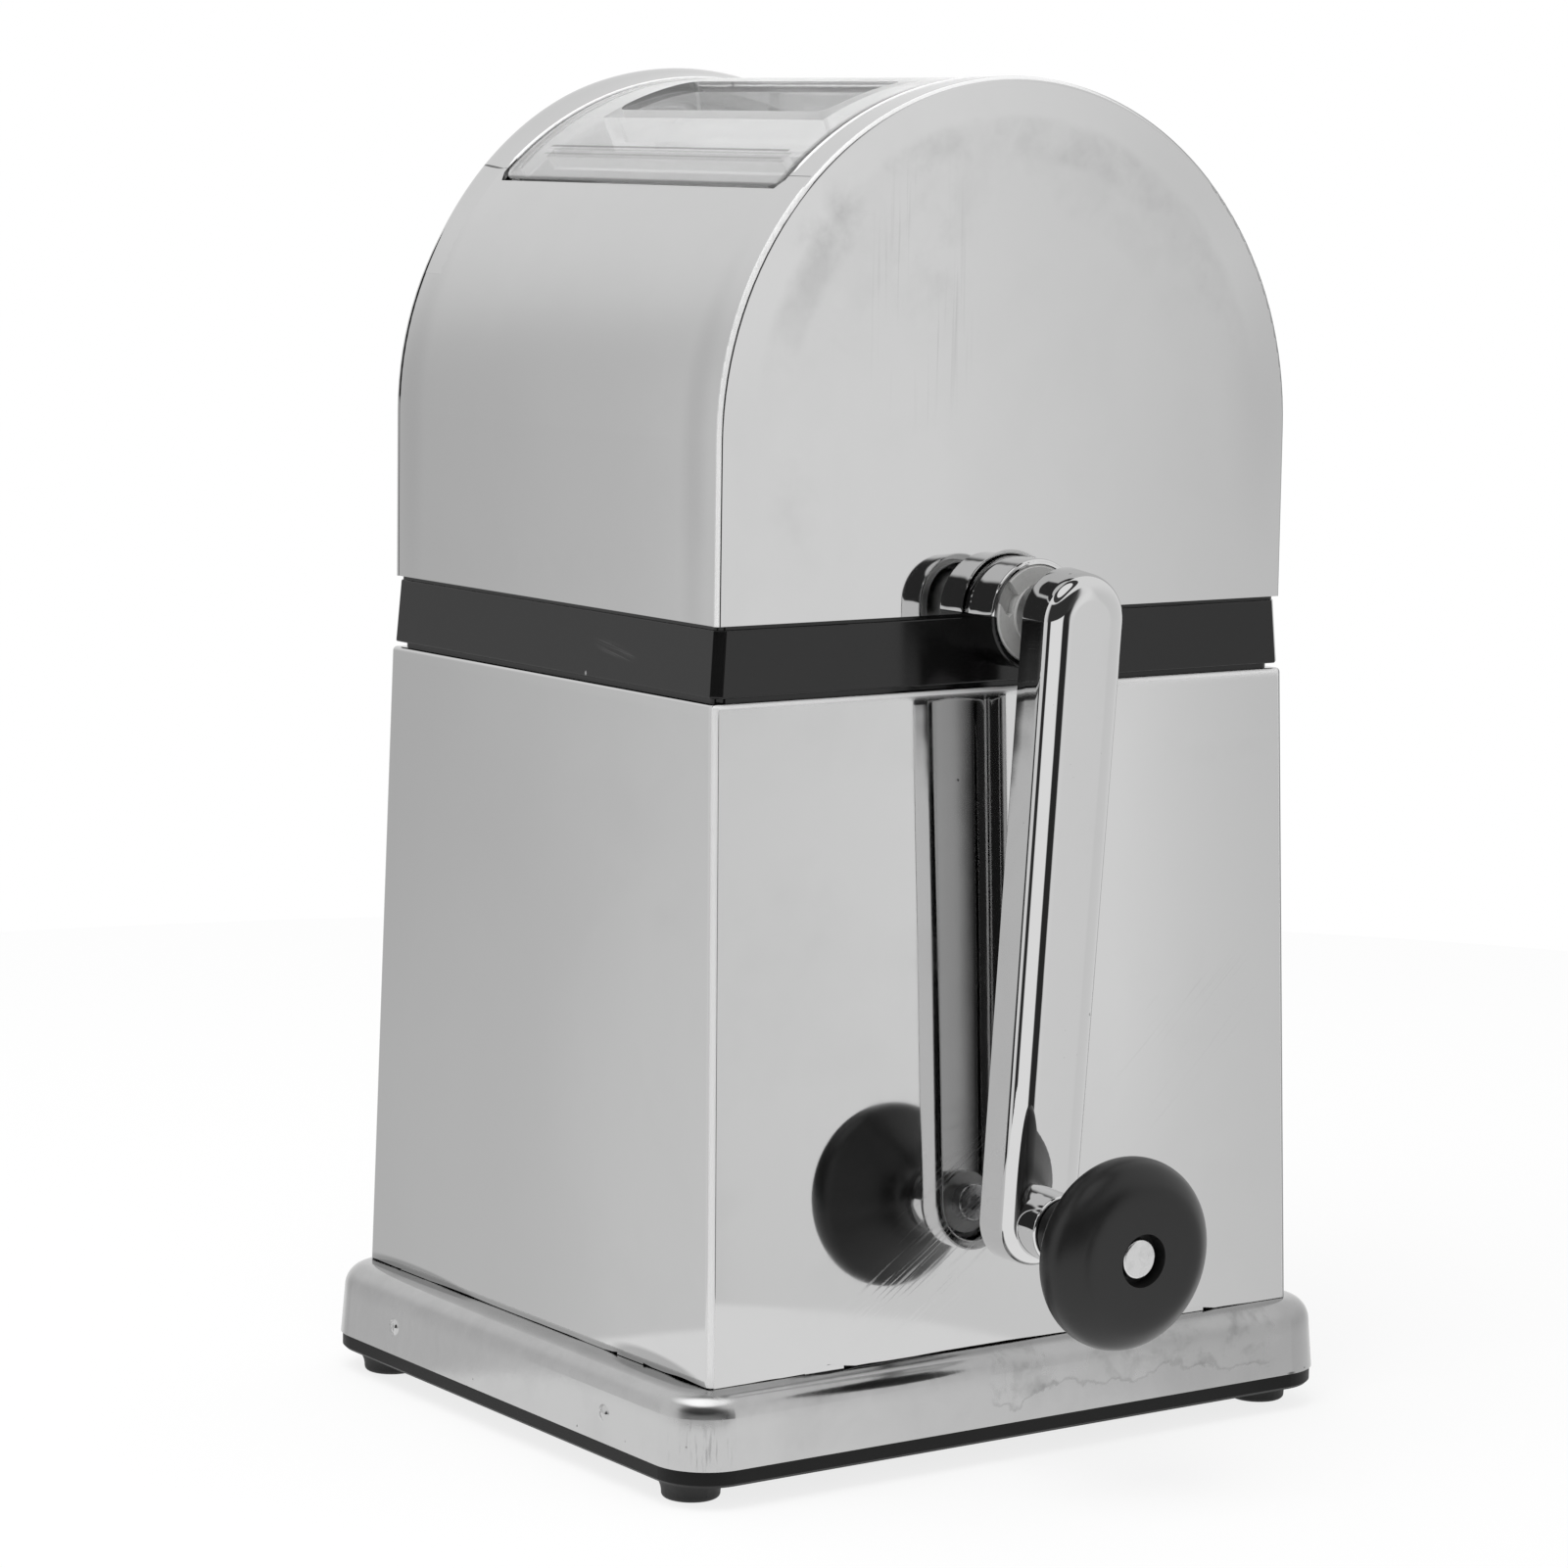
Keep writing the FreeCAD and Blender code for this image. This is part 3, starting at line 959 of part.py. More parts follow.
front_face = arm_thick
ferrule = rod(dim("ferrule_radius"), V(throw, 0, front_face), dim("ferrule_length"))
ferrule = ferrule.makeFillet(0.6, [e for e in ferrule.Edges
                                   if e.BoundBox.ZMin > front_face + dim("ferrule_length") - 0.01])
axle_r = dim("axle_radius")
ferrule = ferrule.cut(rod(axle_r + 0.05, V(throw, 0, 0), 40))
keep("knob_ferrule", on_arm(ferrule))

# the axle's head stands clear of the recess floor by the end play
recess_z = dim("knob_length") - dim("knob_recess_depth")
axle_length = recess_z + dim("knob_end_play") + 0.1
axle_end = front_face + axle_length
axle = rod(axle_r, V(throw, 0, front_face), axle_length)
axle_head = rod(3.9, V(throw, 0, axle_end - 0.1), 1.8)
axle_head = axle_head.makeFillet(0.5, [e for e in axle_head.Edges
                                       if e.BoundBox.ZMin > axle_end + 1.6])
axle = axle.fuse(axle_head).cut(rod(bolt_r + 0.05, V(throw, 0, 0), front_face + 10))
keep("knob_axle", on_arm(axle))

bolt = rod(3.7, V(throw, 0, bolt_seat - 3.2), 3.2)
bolt = bolt.fuse(rod(bolt_r, V(throw, 0, bolt_seat - 0.1), front_face + 6.5))
bolt = bolt.makeFillet(0.5, [e for e in bolt.Edges if e.BoundBox.ZMax < -0.3])
hexagon = Part.makePolygon([V(throw + 1.75 * math.cos(math.radians(60 * k)),
                              1.75 * math.sin(math.radians(60 * k)), -0.5) for k in range(7)])
bolt = bolt.cut(Part.Face(hexagon).extrude(V(0, 0, 2.2)))
keep("knob_bolt", on_arm(bolt))

# ================================================================ KNOB
start, end = dim("knob_start"), dim("knob_length")
big = dim("knob_radius")
back_curve = Part.BSplineCurve()
back_curve.interpolate([V(6.25, 0, start + 2.2), V(8.9, 0, start + 6.0), V(12.6, 0, start + 10.0),
                        V(16.5, 0, start + 14.2), V(big, 0, end - 6.0)],
                       InitialTangent=V(0.15, 0, 1), FinalTangent=V(0, 0, 1))
front_curve = Part.BSplineCurve()
front_curve.interpolate([V(big, 0, end - 6.0), V(17.0, 0, end - 2.4), V(14.6, 0, end - 0.6),
                         V(11.0, 0, end)],
                        InitialTangent=V(0, 0, 1), FinalTangent=V(-1, 0, 0))
bore_r = axle_r + gap
recess_r = dim("knob_recess")
outline_edges = [
    Part.makeLine(V(bore_r, 0, start + 0.2), V(6.25, 0, start + 0.2)),
    Part.makeLine(V(6.25, 0, start + 0.2), V(6.25, 0, start + 2.2)),
    back_curve.toShape(), front_curve.toShape(),
    Part.makeLine(V(11.0, 0, end), V(recess_r, 0, end)),
    Part.makeLine(V(recess_r, 0, end), V(recess_r, 0, recess_z)),
    Part.makeLine(V(recess_r, 0, recess_z), V(bore_r, 0, recess_z)),
    Part.makeLine(V(bore_r, 0, recess_z), V(bore_r, 0, start + 0.2)),
]
knob = Part.Face(Part.Wire(outline_edges)).revolve(V(0, 0, 0), V(0, 0, 1), 360)
knob = Part.makeSolid(knob) if knob.ShapeType == "Shell" else knob
knob.Placement = arm_place.multiply(FreeCAD.Placement(V(throw, 0, front_face), FreeCAD.Rotation()))
keep("knob", knob)

# ---------------------------------------------------------------- write everything
doc.recompute()
os.makedirs("parts", exist_ok=True)
for item in finished:
    if "Invalid" in item.State or "Error" in item.State:
        raise RuntimeError("%s did not build: %s" % (item.Label, item.State))
    shape = item.Shape
    if shape.isNull() or not shape.isValid():
        raise RuntimeError("%s has no valid shape" % item.Label)
    shape.exportStep(os.path.join("parts", item.Label + ".step"))
    print(item.Label, len(shape.Solids), round(shape.Volume / 1000, 2), "cm3",
          [round(v, 1) for v in (shape.BoundBox.XMin, shape.BoundBox.XMax, shape.BoundBox.YMin,
                                 shape.BoundBox.YMax, shape.BoundBox.ZMin, shape.BoundBox.ZMax)])
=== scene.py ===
import json
import math

import bmesh
import bpy
from mathutils import Matrix, Vector, noise


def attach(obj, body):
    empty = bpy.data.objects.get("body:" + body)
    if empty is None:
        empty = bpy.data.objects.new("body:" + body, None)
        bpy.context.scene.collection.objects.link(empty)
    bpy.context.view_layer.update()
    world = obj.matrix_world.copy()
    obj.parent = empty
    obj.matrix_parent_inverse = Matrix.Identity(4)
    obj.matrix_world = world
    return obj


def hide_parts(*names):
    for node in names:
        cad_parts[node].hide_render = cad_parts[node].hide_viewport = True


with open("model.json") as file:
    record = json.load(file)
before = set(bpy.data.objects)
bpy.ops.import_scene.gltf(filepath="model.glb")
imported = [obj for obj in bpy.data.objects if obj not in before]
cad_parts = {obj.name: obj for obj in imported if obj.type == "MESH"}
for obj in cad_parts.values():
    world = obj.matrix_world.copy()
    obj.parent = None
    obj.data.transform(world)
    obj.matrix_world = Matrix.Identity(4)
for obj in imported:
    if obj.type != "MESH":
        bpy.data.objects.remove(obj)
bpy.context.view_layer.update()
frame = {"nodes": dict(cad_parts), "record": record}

MM = 0.001


# ---------------------------------------------------------------- camera

CAMERA_AIM = Vector((-8.55, -11.02, 124.25)) * MM
CAMERA_DISTANCE = 983.6 * MM
CAMERA_AZIMUTH = math.radians(55.35)
CAMERA_ELEVATION = math.radians(7.6)
CAMERA_ROLL = math.radians(0.78)
CAMERA_LENS, CAMERA_SENSOR = 111.91, 36.0
CAMERA_SHIFT = (0.01444, -0.0026)
CAMERA_CLIP = (0.05, 20.0)


def place_camera():
    back = Vector((math.sin(CAMERA_AZIMUTH) * math.cos(CAMERA_ELEVATION),
                   -math.cos(CAMERA_AZIMUTH) * math.cos(CAMERA_ELEVATION),
                   math.sin(CAMERA_ELEVATION)))
    level = Vector((math.cos(CAMERA_AZIMUTH), math.sin(CAMERA_AZIMUTH), 0.0))
    upright = back.cross(level)
    right = math.cos(CAMERA_ROLL) * level + math.sin(CAMERA_ROLL) * upright
    up = math.cos(CAMERA_ROLL) * upright - math.sin(CAMERA_ROLL) * level
    data = bpy.data.cameras.new("bench_camera")
    data.sensor_width, data.lens = CAMERA_SENSOR, CAMERA_LENS
    data.shift_x, data.shift_y = CAMERA_SHIFT
    data.clip_start, data.clip_end = CAMERA_CLIP
    camera = bpy.data.objects.new("bench_camera", data)
    bpy.context.collection.objects.link(camera)
    turn = Matrix((right, up, back)).transposed().to_4x4()
    camera.matrix_world = Matrix.Translation(CAMERA_AIM + back * CAMERA_DISTANCE) @ turn
    bpy.context.scene.camera = camera


# ---------------------------------------------------------------- node helpers

def add(tree, kind, **settings):
    node = tree.nodes.new(kind)
    for word, value in settings.items():
        setattr(node, word, value)
    return node


def join(tree, source, target):
    tree.links.new(source, target)


def feed(tree, socket, value):
    """Set a plain value on a socket, or link the output that makes it."""
    if isinstance(value, bpy.types.NodeSocket):
        join(tree, value, socket)
    else:
        socket.default_value = value


def feed_all(tree, node, values):
    for word, value in values.items():
        feed(tree, node.inputs[word.replace("_", " ")], value)
    return node


def math_node(tree, operation, first, second=None, clamp=False):
    node = add(tree, "ShaderNodeMath", operation=operation, use_clamp=clamp)
    feed(tree, node.inputs[0], first)
    if second is not None:
        feed(tree, node.inputs[1], second)
    return node.outputs[0]


def times(tree, first, second, clamp=False):
    return math_node(tree, "MULTIPLY", first, second, clamp)


def plus(tree, first, second, clamp=False):
    return math_node(tree, "ADD", first, second, clamp)


def vector_node(tree, operation, first, second=None):
    """An operation on vectors; lengths, distances and dot products come out as a number."""
    node = add(tree, "ShaderNodeVectorMath", operation=operation)
    feed(tree, node.inputs[0], first)
    if second is not None:
        feed(tree, node.inputs[1], second)
    number = operation in ("LENGTH", "DISTANCE", "DOT_PRODUCT")
    return node.outputs["Value" if number else "Vector"]


def axes(tree, vector):
    """East, north and height of a vector."""
    split = add(tree, "ShaderNodeSeparateXYZ")
    join(tree, vector, split.inputs[0])
    return split.outputs


def smooth_step(tree, value, low, high):
    """0 where the value is at low, 1 where it is at high; low may be the greater of the two."""
    node = add(tree, "ShaderNodeMapRange", interpolation_type="SMOOTHSTEP")
    return feed_all(tree, node, {"Value": value, "From Min": low, "From Max": high}).outputs["Result"]


def blend(tree, factor, first, second):
    node = add(tree, "ShaderNodeMix", data_type="FLOAT")
    return feed_all(tree, node, {"Factor": factor, "A": first, "B": second}).outputs["Result"]


def noise_over(tree, vector, scale, detail, roughness=0.5, distortion=0.0):
    values = {"Vector": vector, "Scale": scale, "Detail": detail, "Roughness": roughness,
              "Distortion": distortion}
    return feed_all(tree, add(tree, "ShaderNodeTexNoise"), values).outputs["Fac"]


def mix_shaders(tree, factor, first, second):
    node = add(tree, "ShaderNodeMixShader")
    for socket, source in zip(node.inputs, (factor, first.outputs[0], second.outputs[0])):
        join(tree, source, socket)
    return node


def ramp(tree, value, stops):
    """Grey levels over a value that goes from 0 to 1."""
    node = add(tree, "ShaderNodeValToRGB")
    points = node.color_ramp.elements
    while len(points) > 1:
        points.remove(points[-1])
    for index, (place, shade) in enumerate(stops):
        point = points[0] if index == 0 else points.new(place)
        point.position = place
        point.color = (shade, shade, shade, 1.0)
    join(tree, value, node.inputs["Fac"])
    return node.outputs["Color"]


# ---------------------------------------------------------------- studio

# What polished metal sees round it: bearing in degrees from +X, brightness.
# The bench is the paper below the horizon, the room is the band above it.
BENCH_ROUND = [(-180, 0.88), (-160, 0.62), (-150, 0.65), (-148.8, 0.66), (-147.3, 0.72), (-146, 0.82),
               (-143, 0.86), (-90, 0.85), (-86, 0.03), (-68, 0.03), (-64, 1.0), (3, 1.0),
               (6.5, 0.03), (27.3, 0.03), (28.6, 0.86), (33, 0.86), (36.5, 0.85), (40, 0.82),
               (43, 0.78), (70, 0.80), (130, 0.90), (180, 0.88)]
ROOM_ROUND = [(-180, 0.93), (-160, 0.66), (-150, 0.59), (-148, 0.65), (-146, 0.78), (-143, 0.84),
              (-120, 0.85), (-95, 0.80), (-85, 0.04), (10, 0.04), (24, 0.08), (28.6, 0.86),
              (33.5, 0.98), (36.5, 0.97), (38.5, 0.88), (41, 0.76), (70, 0.80), (130, 0.92),
              (180, 0.93)]
# Where the room stays dark up to the ceiling, behind whoever stands at the bench.
FRONT_ROUND = [(-100, 0.0), (-90, 1.0), (20, 1.0), (28, 0.0)]
# Degrees above the horizon over which the bench gives way to the room and the room to the
# ceiling, first elsewhere and then in front, and the paper under the object to the bench.
HORIZON, FRONT_HORIZON = (-10.0, -5.5), (-1.4, -0.4)
CEILING_EDGE, FRONT_CEILING_EDGE = (-1.0, 33.0), (32.0, 35.0)
PAPER_EDGE = (-60.0, -25.0)
CEILING, WHITE_LEVEL = 0.92, 1.0
PLAIN_LEVEL = 0.72
WINDOW_BEARING, WINDOW_RISE = math.radians(-52.0), math.radians(68.0)
WINDOW_EDGE, WINDOW_LEVEL = (21.0, 20.0), 1.0
FRAME_EDGE, FRAME_LEVEL = (33.0, 31.5), 0.05


def round_the_room(tree, bearing, stops):
    return ramp(tree, bearing, [((degrees + 180.0) / 360.0, shade) for degrees, shade in stops])


def angle_to_window(tree, where):
    """Degrees between a direction and the middle of the bright window."""
    middle = (math.cos(WINDOW_RISE) * math.cos(WINDOW_BEARING),
              math.cos(WINDOW_RISE) * math.sin(WINDOW_BEARING), math.sin(WINDOW_RISE))
    angle = math_node(tree, "ARCCOSINE", vector_node(tree, "DOT_PRODUCT", where, middle))
    return times(tree, angle, 180.0 / math.pi)


def seen_plainly(tree):
    """The light path, and 1 for rays that come from the camera straight or through glass."""
    path = add(tree, "ShaderNodeLightPath").outputs
    return path, math_node(tree, "MAXIMUM", path["Is Camera Ray"], path["Is Transmission Ray"])


def light_the_studio():
    world = bpy.data.worlds.new("studio")
    bpy.context.scene.world = world
    world.use_nodes = True
    tree = world.node_tree
    tree.nodes.clear()
    where = add(tree, "ShaderNodeTexCoord").outputs["Generated"]
    east, north, high = axes(tree, where)
    bearing = plus(tree, times(tree, math_node(tree, "ARCTAN2", north, east), 1.0 / math.tau), 0.5)
    rise = times(tree, math_node(tree, "ARCSINE", high), 180.0 / math.pi)
    in_front = round_the_room(tree, bearing, FRONT_ROUND)
    horizon = blend(tree, in_front, smooth_step(tree, rise, *HORIZON),
                    smooth_step(tree, rise, *FRONT_HORIZON))
    walls = blend(tree, horizon, round_the_room(tree, bearing, BENCH_ROUND),
                  round_the_room(tree, bearing, ROOM_ROUND))
    elsewhere = blend(tree, smooth_step(tree, rise, *CEILING_EDGE), walls, CEILING)
    front = blend(tree, smooth_step(tree, rise, *FRONT_CEILING_EDGE), walls, CEILING)
    whole = blend(tree, in_front, elsewhere, front)
    off_window = angle_to_window(tree, where)
    whole = blend(tree, smooth_step(tree, off_window, *FRAME_EDGE), whole, FRAME_LEVEL)
    whole = blend(tree, smooth_step(tree, off_window, *WINDOW_EDGE), whole, WINDOW_LEVEL)
    whole = blend(tree, smooth_step(tree, rise, *PAPER_EDGE), WHITE_LEVEL, whole)

    path, seen = seen_plainly(tree)
    shade = blend(tree, path["Is Glossy Ray"], PLAIN_LEVEL, whole)
    shade = blend(tree, seen, shade, WHITE_LEVEL)
    light = feed_all(tree, add(tree, "ShaderNodeBackground"), {"Color": shade, "Strength": 1.0})
    join(tree, light.outputs[0], add(tree, "ShaderNodeOutputWorld").inputs["Surface"])


SOFTBOX_PLACE, SOFTBOX_AIM = Vector((0.2, -0.5, 1.3)), Vector((0.0, 0.0, 0.12))
SOFTBOX_SIZE, SOFTBOX_WATTS = 1.0, 9.0


def hang_the_softbox():
    data = bpy.data.lights.new("top_softbox", "AREA")
    data.shape = "DISK"
    data.size, data.energy = SOFTBOX_SIZE, SOFTBOX_WATTS
    lamp = bpy.data.objects.new("top_softbox", data)
    bpy.context.collection.objects.link(lamp)
    lamp.location = SOFTBOX_PLACE
    lamp.rotation_mode = "QUATERNION"
    lamp.rotation_quaternion = (SOFTBOX_AIM - SOFTBOX_PLACE).to_track_quat("-Z", "Y")
    lamp.visible_glossy = False
    lamp.visible_camera = False
    lamp.visible_transmission = False


PAPER_RADIUS, PAPER_POINTS = 0.6, 96
PAPER_COLOUR = (0.96, 0.96, 0.96, 1.0)
PAPER_GLOW = 0.8
POOL_CENTRE = Vector((160, -148, 0)) * MM
POOL_RADIUS, POOL_CLEAR_FROM = 229 * MM, 0.97


def lay_the_floor():
    """White paper: it keeps the contact shadow, and metal sees a lighter pool in front."""
    shape = bmesh.new()
    bmesh.ops.create_circle(shape, cap_ends=True, segments=PAPER_POINTS, radius=PAPER_RADIUS)
    mesh = bpy.data.meshes.new("bench_paper")
    shape.to_mesh(mesh)
    shape.free()
    floor = bpy.data.objects.new("bench_paper", mesh)
    bpy.context.collection.objects.link(floor)
    material = bpy.data.materials.new("bench_paper")
    material.use_nodes = True
    tree = material.node_tree
    tree.nodes.clear()
    path, seen = seen_plainly(tree)
    glow = add(tree, "ShaderNodeEmission")
    feed_all(tree, glow, {"Color": (1.0, 1.0, 1.0, 1.0), "Strength": 1.0})
    paper = feed_all(tree, add(tree, "ShaderNodeBsdfDiffuse"), {"Color": PAPER_COLOUR})
    lit = mix_shaders(tree, times(tree, seen, PAPER_GLOW), paper, glow)
    where = add(tree, "ShaderNodeTexCoord").outputs["Object"]
    away = vector_node(tree, "DISTANCE", where, POOL_CENTRE)
    outside = smooth_step(tree, away, POOL_RADIUS * POOL_CLEAR_FROM, POOL_RADIUS)
    pool = mix_shaders(tree, outside, glow, add(tree, "ShaderNodeBsdfTransparent"))
    whole = mix_shaders(tree, path["Is Glossy Ray"], lit, pool)
    join(tree, whole.outputs[0], add(tree, "ShaderNodeOutputMaterial").inputs["Surface"])
    mesh.materials.append(material)


# ---------------------------------------------------------------- shader groups

def new_group(name, **inputs):
    """An empty shader group that takes a position and other vectors or numbers."""
    tree = bpy.data.node_groups.new(name, "ShaderNodeTree")
    for word, value in {"Position": (0, 0, 0), **inputs}.items():
        kind = "NodeSocketVector" if isinstance(value, tuple) else "NodeSocketFloat"
        socket = tree.interface.new_socket(word.replace("_", " "), in_out="INPUT", socket_type=kind)
        socket.default_value = value
    return tree, add(tree, "NodeGroupInput").outputs


def give(tree, **results):
    """Close a group with the masks or heights that it puts out."""
    for word in results:
        tree.interface.new_socket(word, in_out="OUTPUT", socket_type="NodeSocketFloat")
    feed_all(tree, add(tree, "NodeGroupOutput"), results)
    return tree


def laid_along(tree, position, centre, turn, reach):
    """Coordinates of a turned and stretched box: 1 at its faces."""
    node = add(tree, "ShaderNodeMapping", vector_type="TEXTURE")
    values = {"Vector": position, "Location": centre, "Rotation": turn, "Scale": reach}
    return feed_all(tree, node, values).outputs[0]


def make_patch_group():
    """A soft-edged spot on the surface, such as one smudge or stain."""
    tree, given = new_group("soft_patch", Centre=(0, 0, 0), Reach=(0.01, 0.01, 0.01),
                            Turn=(0, 0, 0), Softness=0.6)
    local = laid_along(tree, given["Position"], given["Centre"], given["Turn"], given["Reach"])
    inner = math_node(tree, "SUBTRACT", 1.0, given["Softness"])
    return give(tree, Mask=smooth_step(tree, vector_node(tree, "LENGTH", local), 1.0, inner))


# Cloudy haze: how much finer its second layer is, the share of each, and its contrast.
HAZE_FINER, HAZE_BROAD_SHARE, HAZE_FINE_SHARE = 4.5, 0.7, 0.3
HAZE_CONTRAST, HAZE_LIFT = 5.0, 0.15


def make_haze_group():
    """Cloudy rub marks left by a cloth and by fingers."""
    tree, given = new_group("cloudy_haze", Offset=(0, 0, 0), Per_metre=22.0, Threshold=0.5)
    shifted = vector_node(tree, "ADD", given["Position"], given["Offset"])
    broad = noise_over(tree, shifted, given["Per metre"], 3.5, 0.55, 0.8)
    fine = noise_over(tree, shifted, times(tree, given["Per metre"], HAZE_FINER), 4.0, 0.6, 0.3)
    mixed = plus(tree, times(tree, broad, HAZE_BROAD_SHARE), times(tree, fine, HAZE_FINE_SHARE))
    over = math_node(tree, "SUBTRACT", mixed, given["Threshold"])
    return give(tree, Haze=plus(tree, times(tree, over, HAZE_CONTRAST), HAZE_LIFT, clamp=True), Tone=mixed)


DRAG_CONTRAST = 9.0


def make_drag_group():
    """Fine lines drawn one way, as a wipe or a grinding belt leaves them."""
    tree, given = new_group("drag_marks", Turn=(0, 0, 0), Grain=(0.03, 0.0006, 0.0006), Threshold=0.6)
    local = laid_along(tree, given["Position"], (0, 0, 0), given["Turn"], given["Grain"])
    lines = noise_over(tree, local, 1.0, 2.0, 0.6)
    over = math_node(tree, "SUBTRACT", lines, given["Threshold"])
    return give(tree, Lines=times(tree, over, DRAG_CONTRAST, clamp=True), Tone=lines)


def make_speck_group():
    """Scattered dust grains or pits of one size."""
    tree, given = new_group("specks", Spacing=0.01, Size=0.0003, Share=0.2)
    cells = add(tree, "ShaderNodeTexVoronoi")
    scale = math_node(tree, "DIVIDE", 1.0, given["Spacing"])
    cells = feed_all(tree, cells, {"Vector": given["Position"], "Scale": scale}).outputs
    size = math_node(tree, "DIVIDE", given["Size"], given["Spacing"])
    near = math_node(tree, "LESS_THAN", cells["Distance"], size)
    split = add(tree, "ShaderNodeSeparateColor")
    join(tree, cells["Color"], split.inputs[0])
    return give(tree, Mask=times(tree, near, math_node(tree, "LESS_THAN", split.outputs[0], given["Share"])))


def make_ripple_group():
    """The slight waviness of rolled sheet or of a polished casting, as a height in metres."""
    tree, given = new_group("surface_ripple", Per_metre=20.0, Height=0.0001)
    wave = noise_over(tree, given["Position"], given["Per metre"], 1.0, 0.35)
    return give(tree, Height=times(tree, wave, given["Height"]))


GRAIN_PEAKS = (0.5, 0.72)


def make_grain_group():
    """Moulded or etched grain, as a height from 0 to 1 and a mask of its high spots."""
    tree, given = new_group("moulded_grain", Per_metre=1500.0)
    grain = noise_over(tree, given["Position"], given["Per metre"], 3.0, 0.6)
    return give(tree, Height=grain, Peaks=smooth_step(tree, grain, *GRAIN_PEAKS))


RING_EDGES = (0.35, 0.65)


def make_turned_group():
    """Rings of a turning tool about an axis along X."""
    tree, given = new_group("turned_rings", Axis=(0, 0, 0), Pitch=0.0003)
    local = vector_node(tree, "SUBTRACT", given["Position"], given["Axis"])
    radius = vector_node(tree, "LENGTH", vector_node(tree, "MULTIPLY", local, (0, 1, 1)))
    line = add(tree, "ShaderNodeCombineXYZ")
    join(tree, math_node(tree, "DIVIDE", radius, given["Pitch"]), line.inputs[0])
    rings = noise_over(tree, line.outputs[0], 1.0, 2.0)
    return give(tree, Height=rings, Tone=smooth_step(tree, rings, *RING_EDGES))


PATCH = make_patch_group()
HAZE = make_haze_group()
DRAG = make_drag_group()
SPECKS = make_speck_group()
RIPPLE = make_ripple_group()
GRAIN = make_grain_group()
TURNED = make_turned_group()


# ---------------------------------------------------------------- finishes

PLAIN_TINT = (1.0, 1.0, 1.0)


class Finish:
    """A Principled material that is put together step by step."""

    def __init__(self, name, metallic=0.0, **sockets):
        self.material = bpy.data.materials.new(name)
        self.material.use_nodes = True
        self.tree = self.material.node_tree
        self.shader = self.tree.nodes["Principled BSDF"]
        feed_all(self.tree, self.shader, {"Metallic": metallic, **sockets})
        self.position = add(self.tree, "ShaderNodeTexCoord").outputs["Object"]

    def group(self, group, **values):
        """Place a group on this surface with its own values, and give its outputs."""
        node = add(self.tree, "ShaderNodeGroup", node_tree=group)
        return feed_all(self.tree, node, {"Position": self.position, **values}).outputs

    def patch(self, centre, reach, turn=(0, 0, 0), softness=0.6):
        """Mask of one soft spot; sizes in millimetres, turn in degrees."""
        return self.group(PATCH, Centre=tuple(v * MM for v in centre), Reach=tuple(v * MM for v in reach),
                          Turn=tuple(math.radians(v) for v in turn), Softness=softness)["Mask"]

    def haze(self, offset, per_metre, threshold):
        """Clouds, shifted by an offset so that no two finishes share them."""
        return self.group(HAZE, Offset=offset, Per_metre=per_metre, Threshold=threshold)

    def drag(self, turn, grain, threshold):
        """Lines turned by radians; grain is the size of one of them in metres."""
        return self.group(DRAG, Turn=turn, Grain=grain, Threshold=threshold)

    def specks(self, spacing, size, share):
        """Spots of one size in metres, in a share of the cells that lie a spacing apart."""
        return self.group(SPECKS, Spacing=spacing, Size=size, Share=share)["Mask"]

    def ripple(self, per_metre, height):
        return self.group(RIPPLE, Per_metre=per_metre, Height=height)["Height"]

    def grain(self, per_metre):
        return self.group(GRAIN, Per_metre=per_metre)

    def axes(self):
        return axes(self.tree, self.position)

    def step(self, value, low, high):
        return smooth_step(self.tree, value, low, high)

    def times(self, first, second):
        return times(self.tree, first, second)

    def plus(self, first, second, clamp=False):
        return plus(self.tree, first, second, clamp)

    def size_of(self, value):
        return math_node(self.tree, "ABSOLUTE", value)

    def marked(self, level, marks):
        """A level with the amounts of (mask, amount) marks added to it."""
        for mask, amount in marks:
            if amount:
                level = self.plus(self.times(mask, amount), level)
        return level

    def colour(self, level, marks, tint=PLAIN_TINT):
        """Base colour: a level, changed by (mask, amount) marks, each a share of the level."""
        shade = self.times(self.marked(1.0, marks), level)
        if tint != PLAIN_TINT:
            paint = add(self.tree, "ShaderNodeCombineColor")
            for socket, share in zip(paint.inputs[:3], tint):
                join(self.tree, self.times(shade, share), socket)
            shade = paint.outputs[0]
        feed(self.tree, self.shader.inputs["Base Color"], shade)

    def roughness(self, level, marks):
        rough = self.plus(self.marked(level, marks), 0.0, clamp=True)
        feed(self.tree, self.shader.inputs["Roughness"], rough)

    def metallic(self, mask, level):
        """Metal everywhere but on the mask, which is left paler and less metallic as a painted highlight."""
        feed(self.tree, self.shader.inputs["Metallic"], self.plus(self.times(mask, level - 1.0), 1.0))

    def raised(self, heights):
        """Bump from (height, metres) pairs."""
        (height, metres), *others = heights
        total = self.marked(self.times(height, metres), others)
        bump = feed_all(self.tree, add(self.tree, "ShaderNodeBump"),
                        {"Strength": 1.0, "Distance": 1.0, "Height": total})
        join(self.tree, bump.outputs[0], self.shader.inputs["Normal"])


ARCH_CENTRE = 197.4
# The crank side of the lower housing is pulled in slightly along its front edge.
BOW_SLOPE, BOW_RISE = 0.0375, 0.0140
BOW_END, BOW_SPREAD = 0.025, 0.04


def housing_bow(finish):
    """Heights of the housing's pulled-in wall, for its bump."""
    north, high = finish.axes()[1:]
    bend = math_node(finish.tree, "SMOOTH_MIN", north, BOW_END)
    bend.node.inputs[2].default_value = BOW_SPREAD
    return [(bend, BOW_SLOPE), (high, -BOW_RISE)]
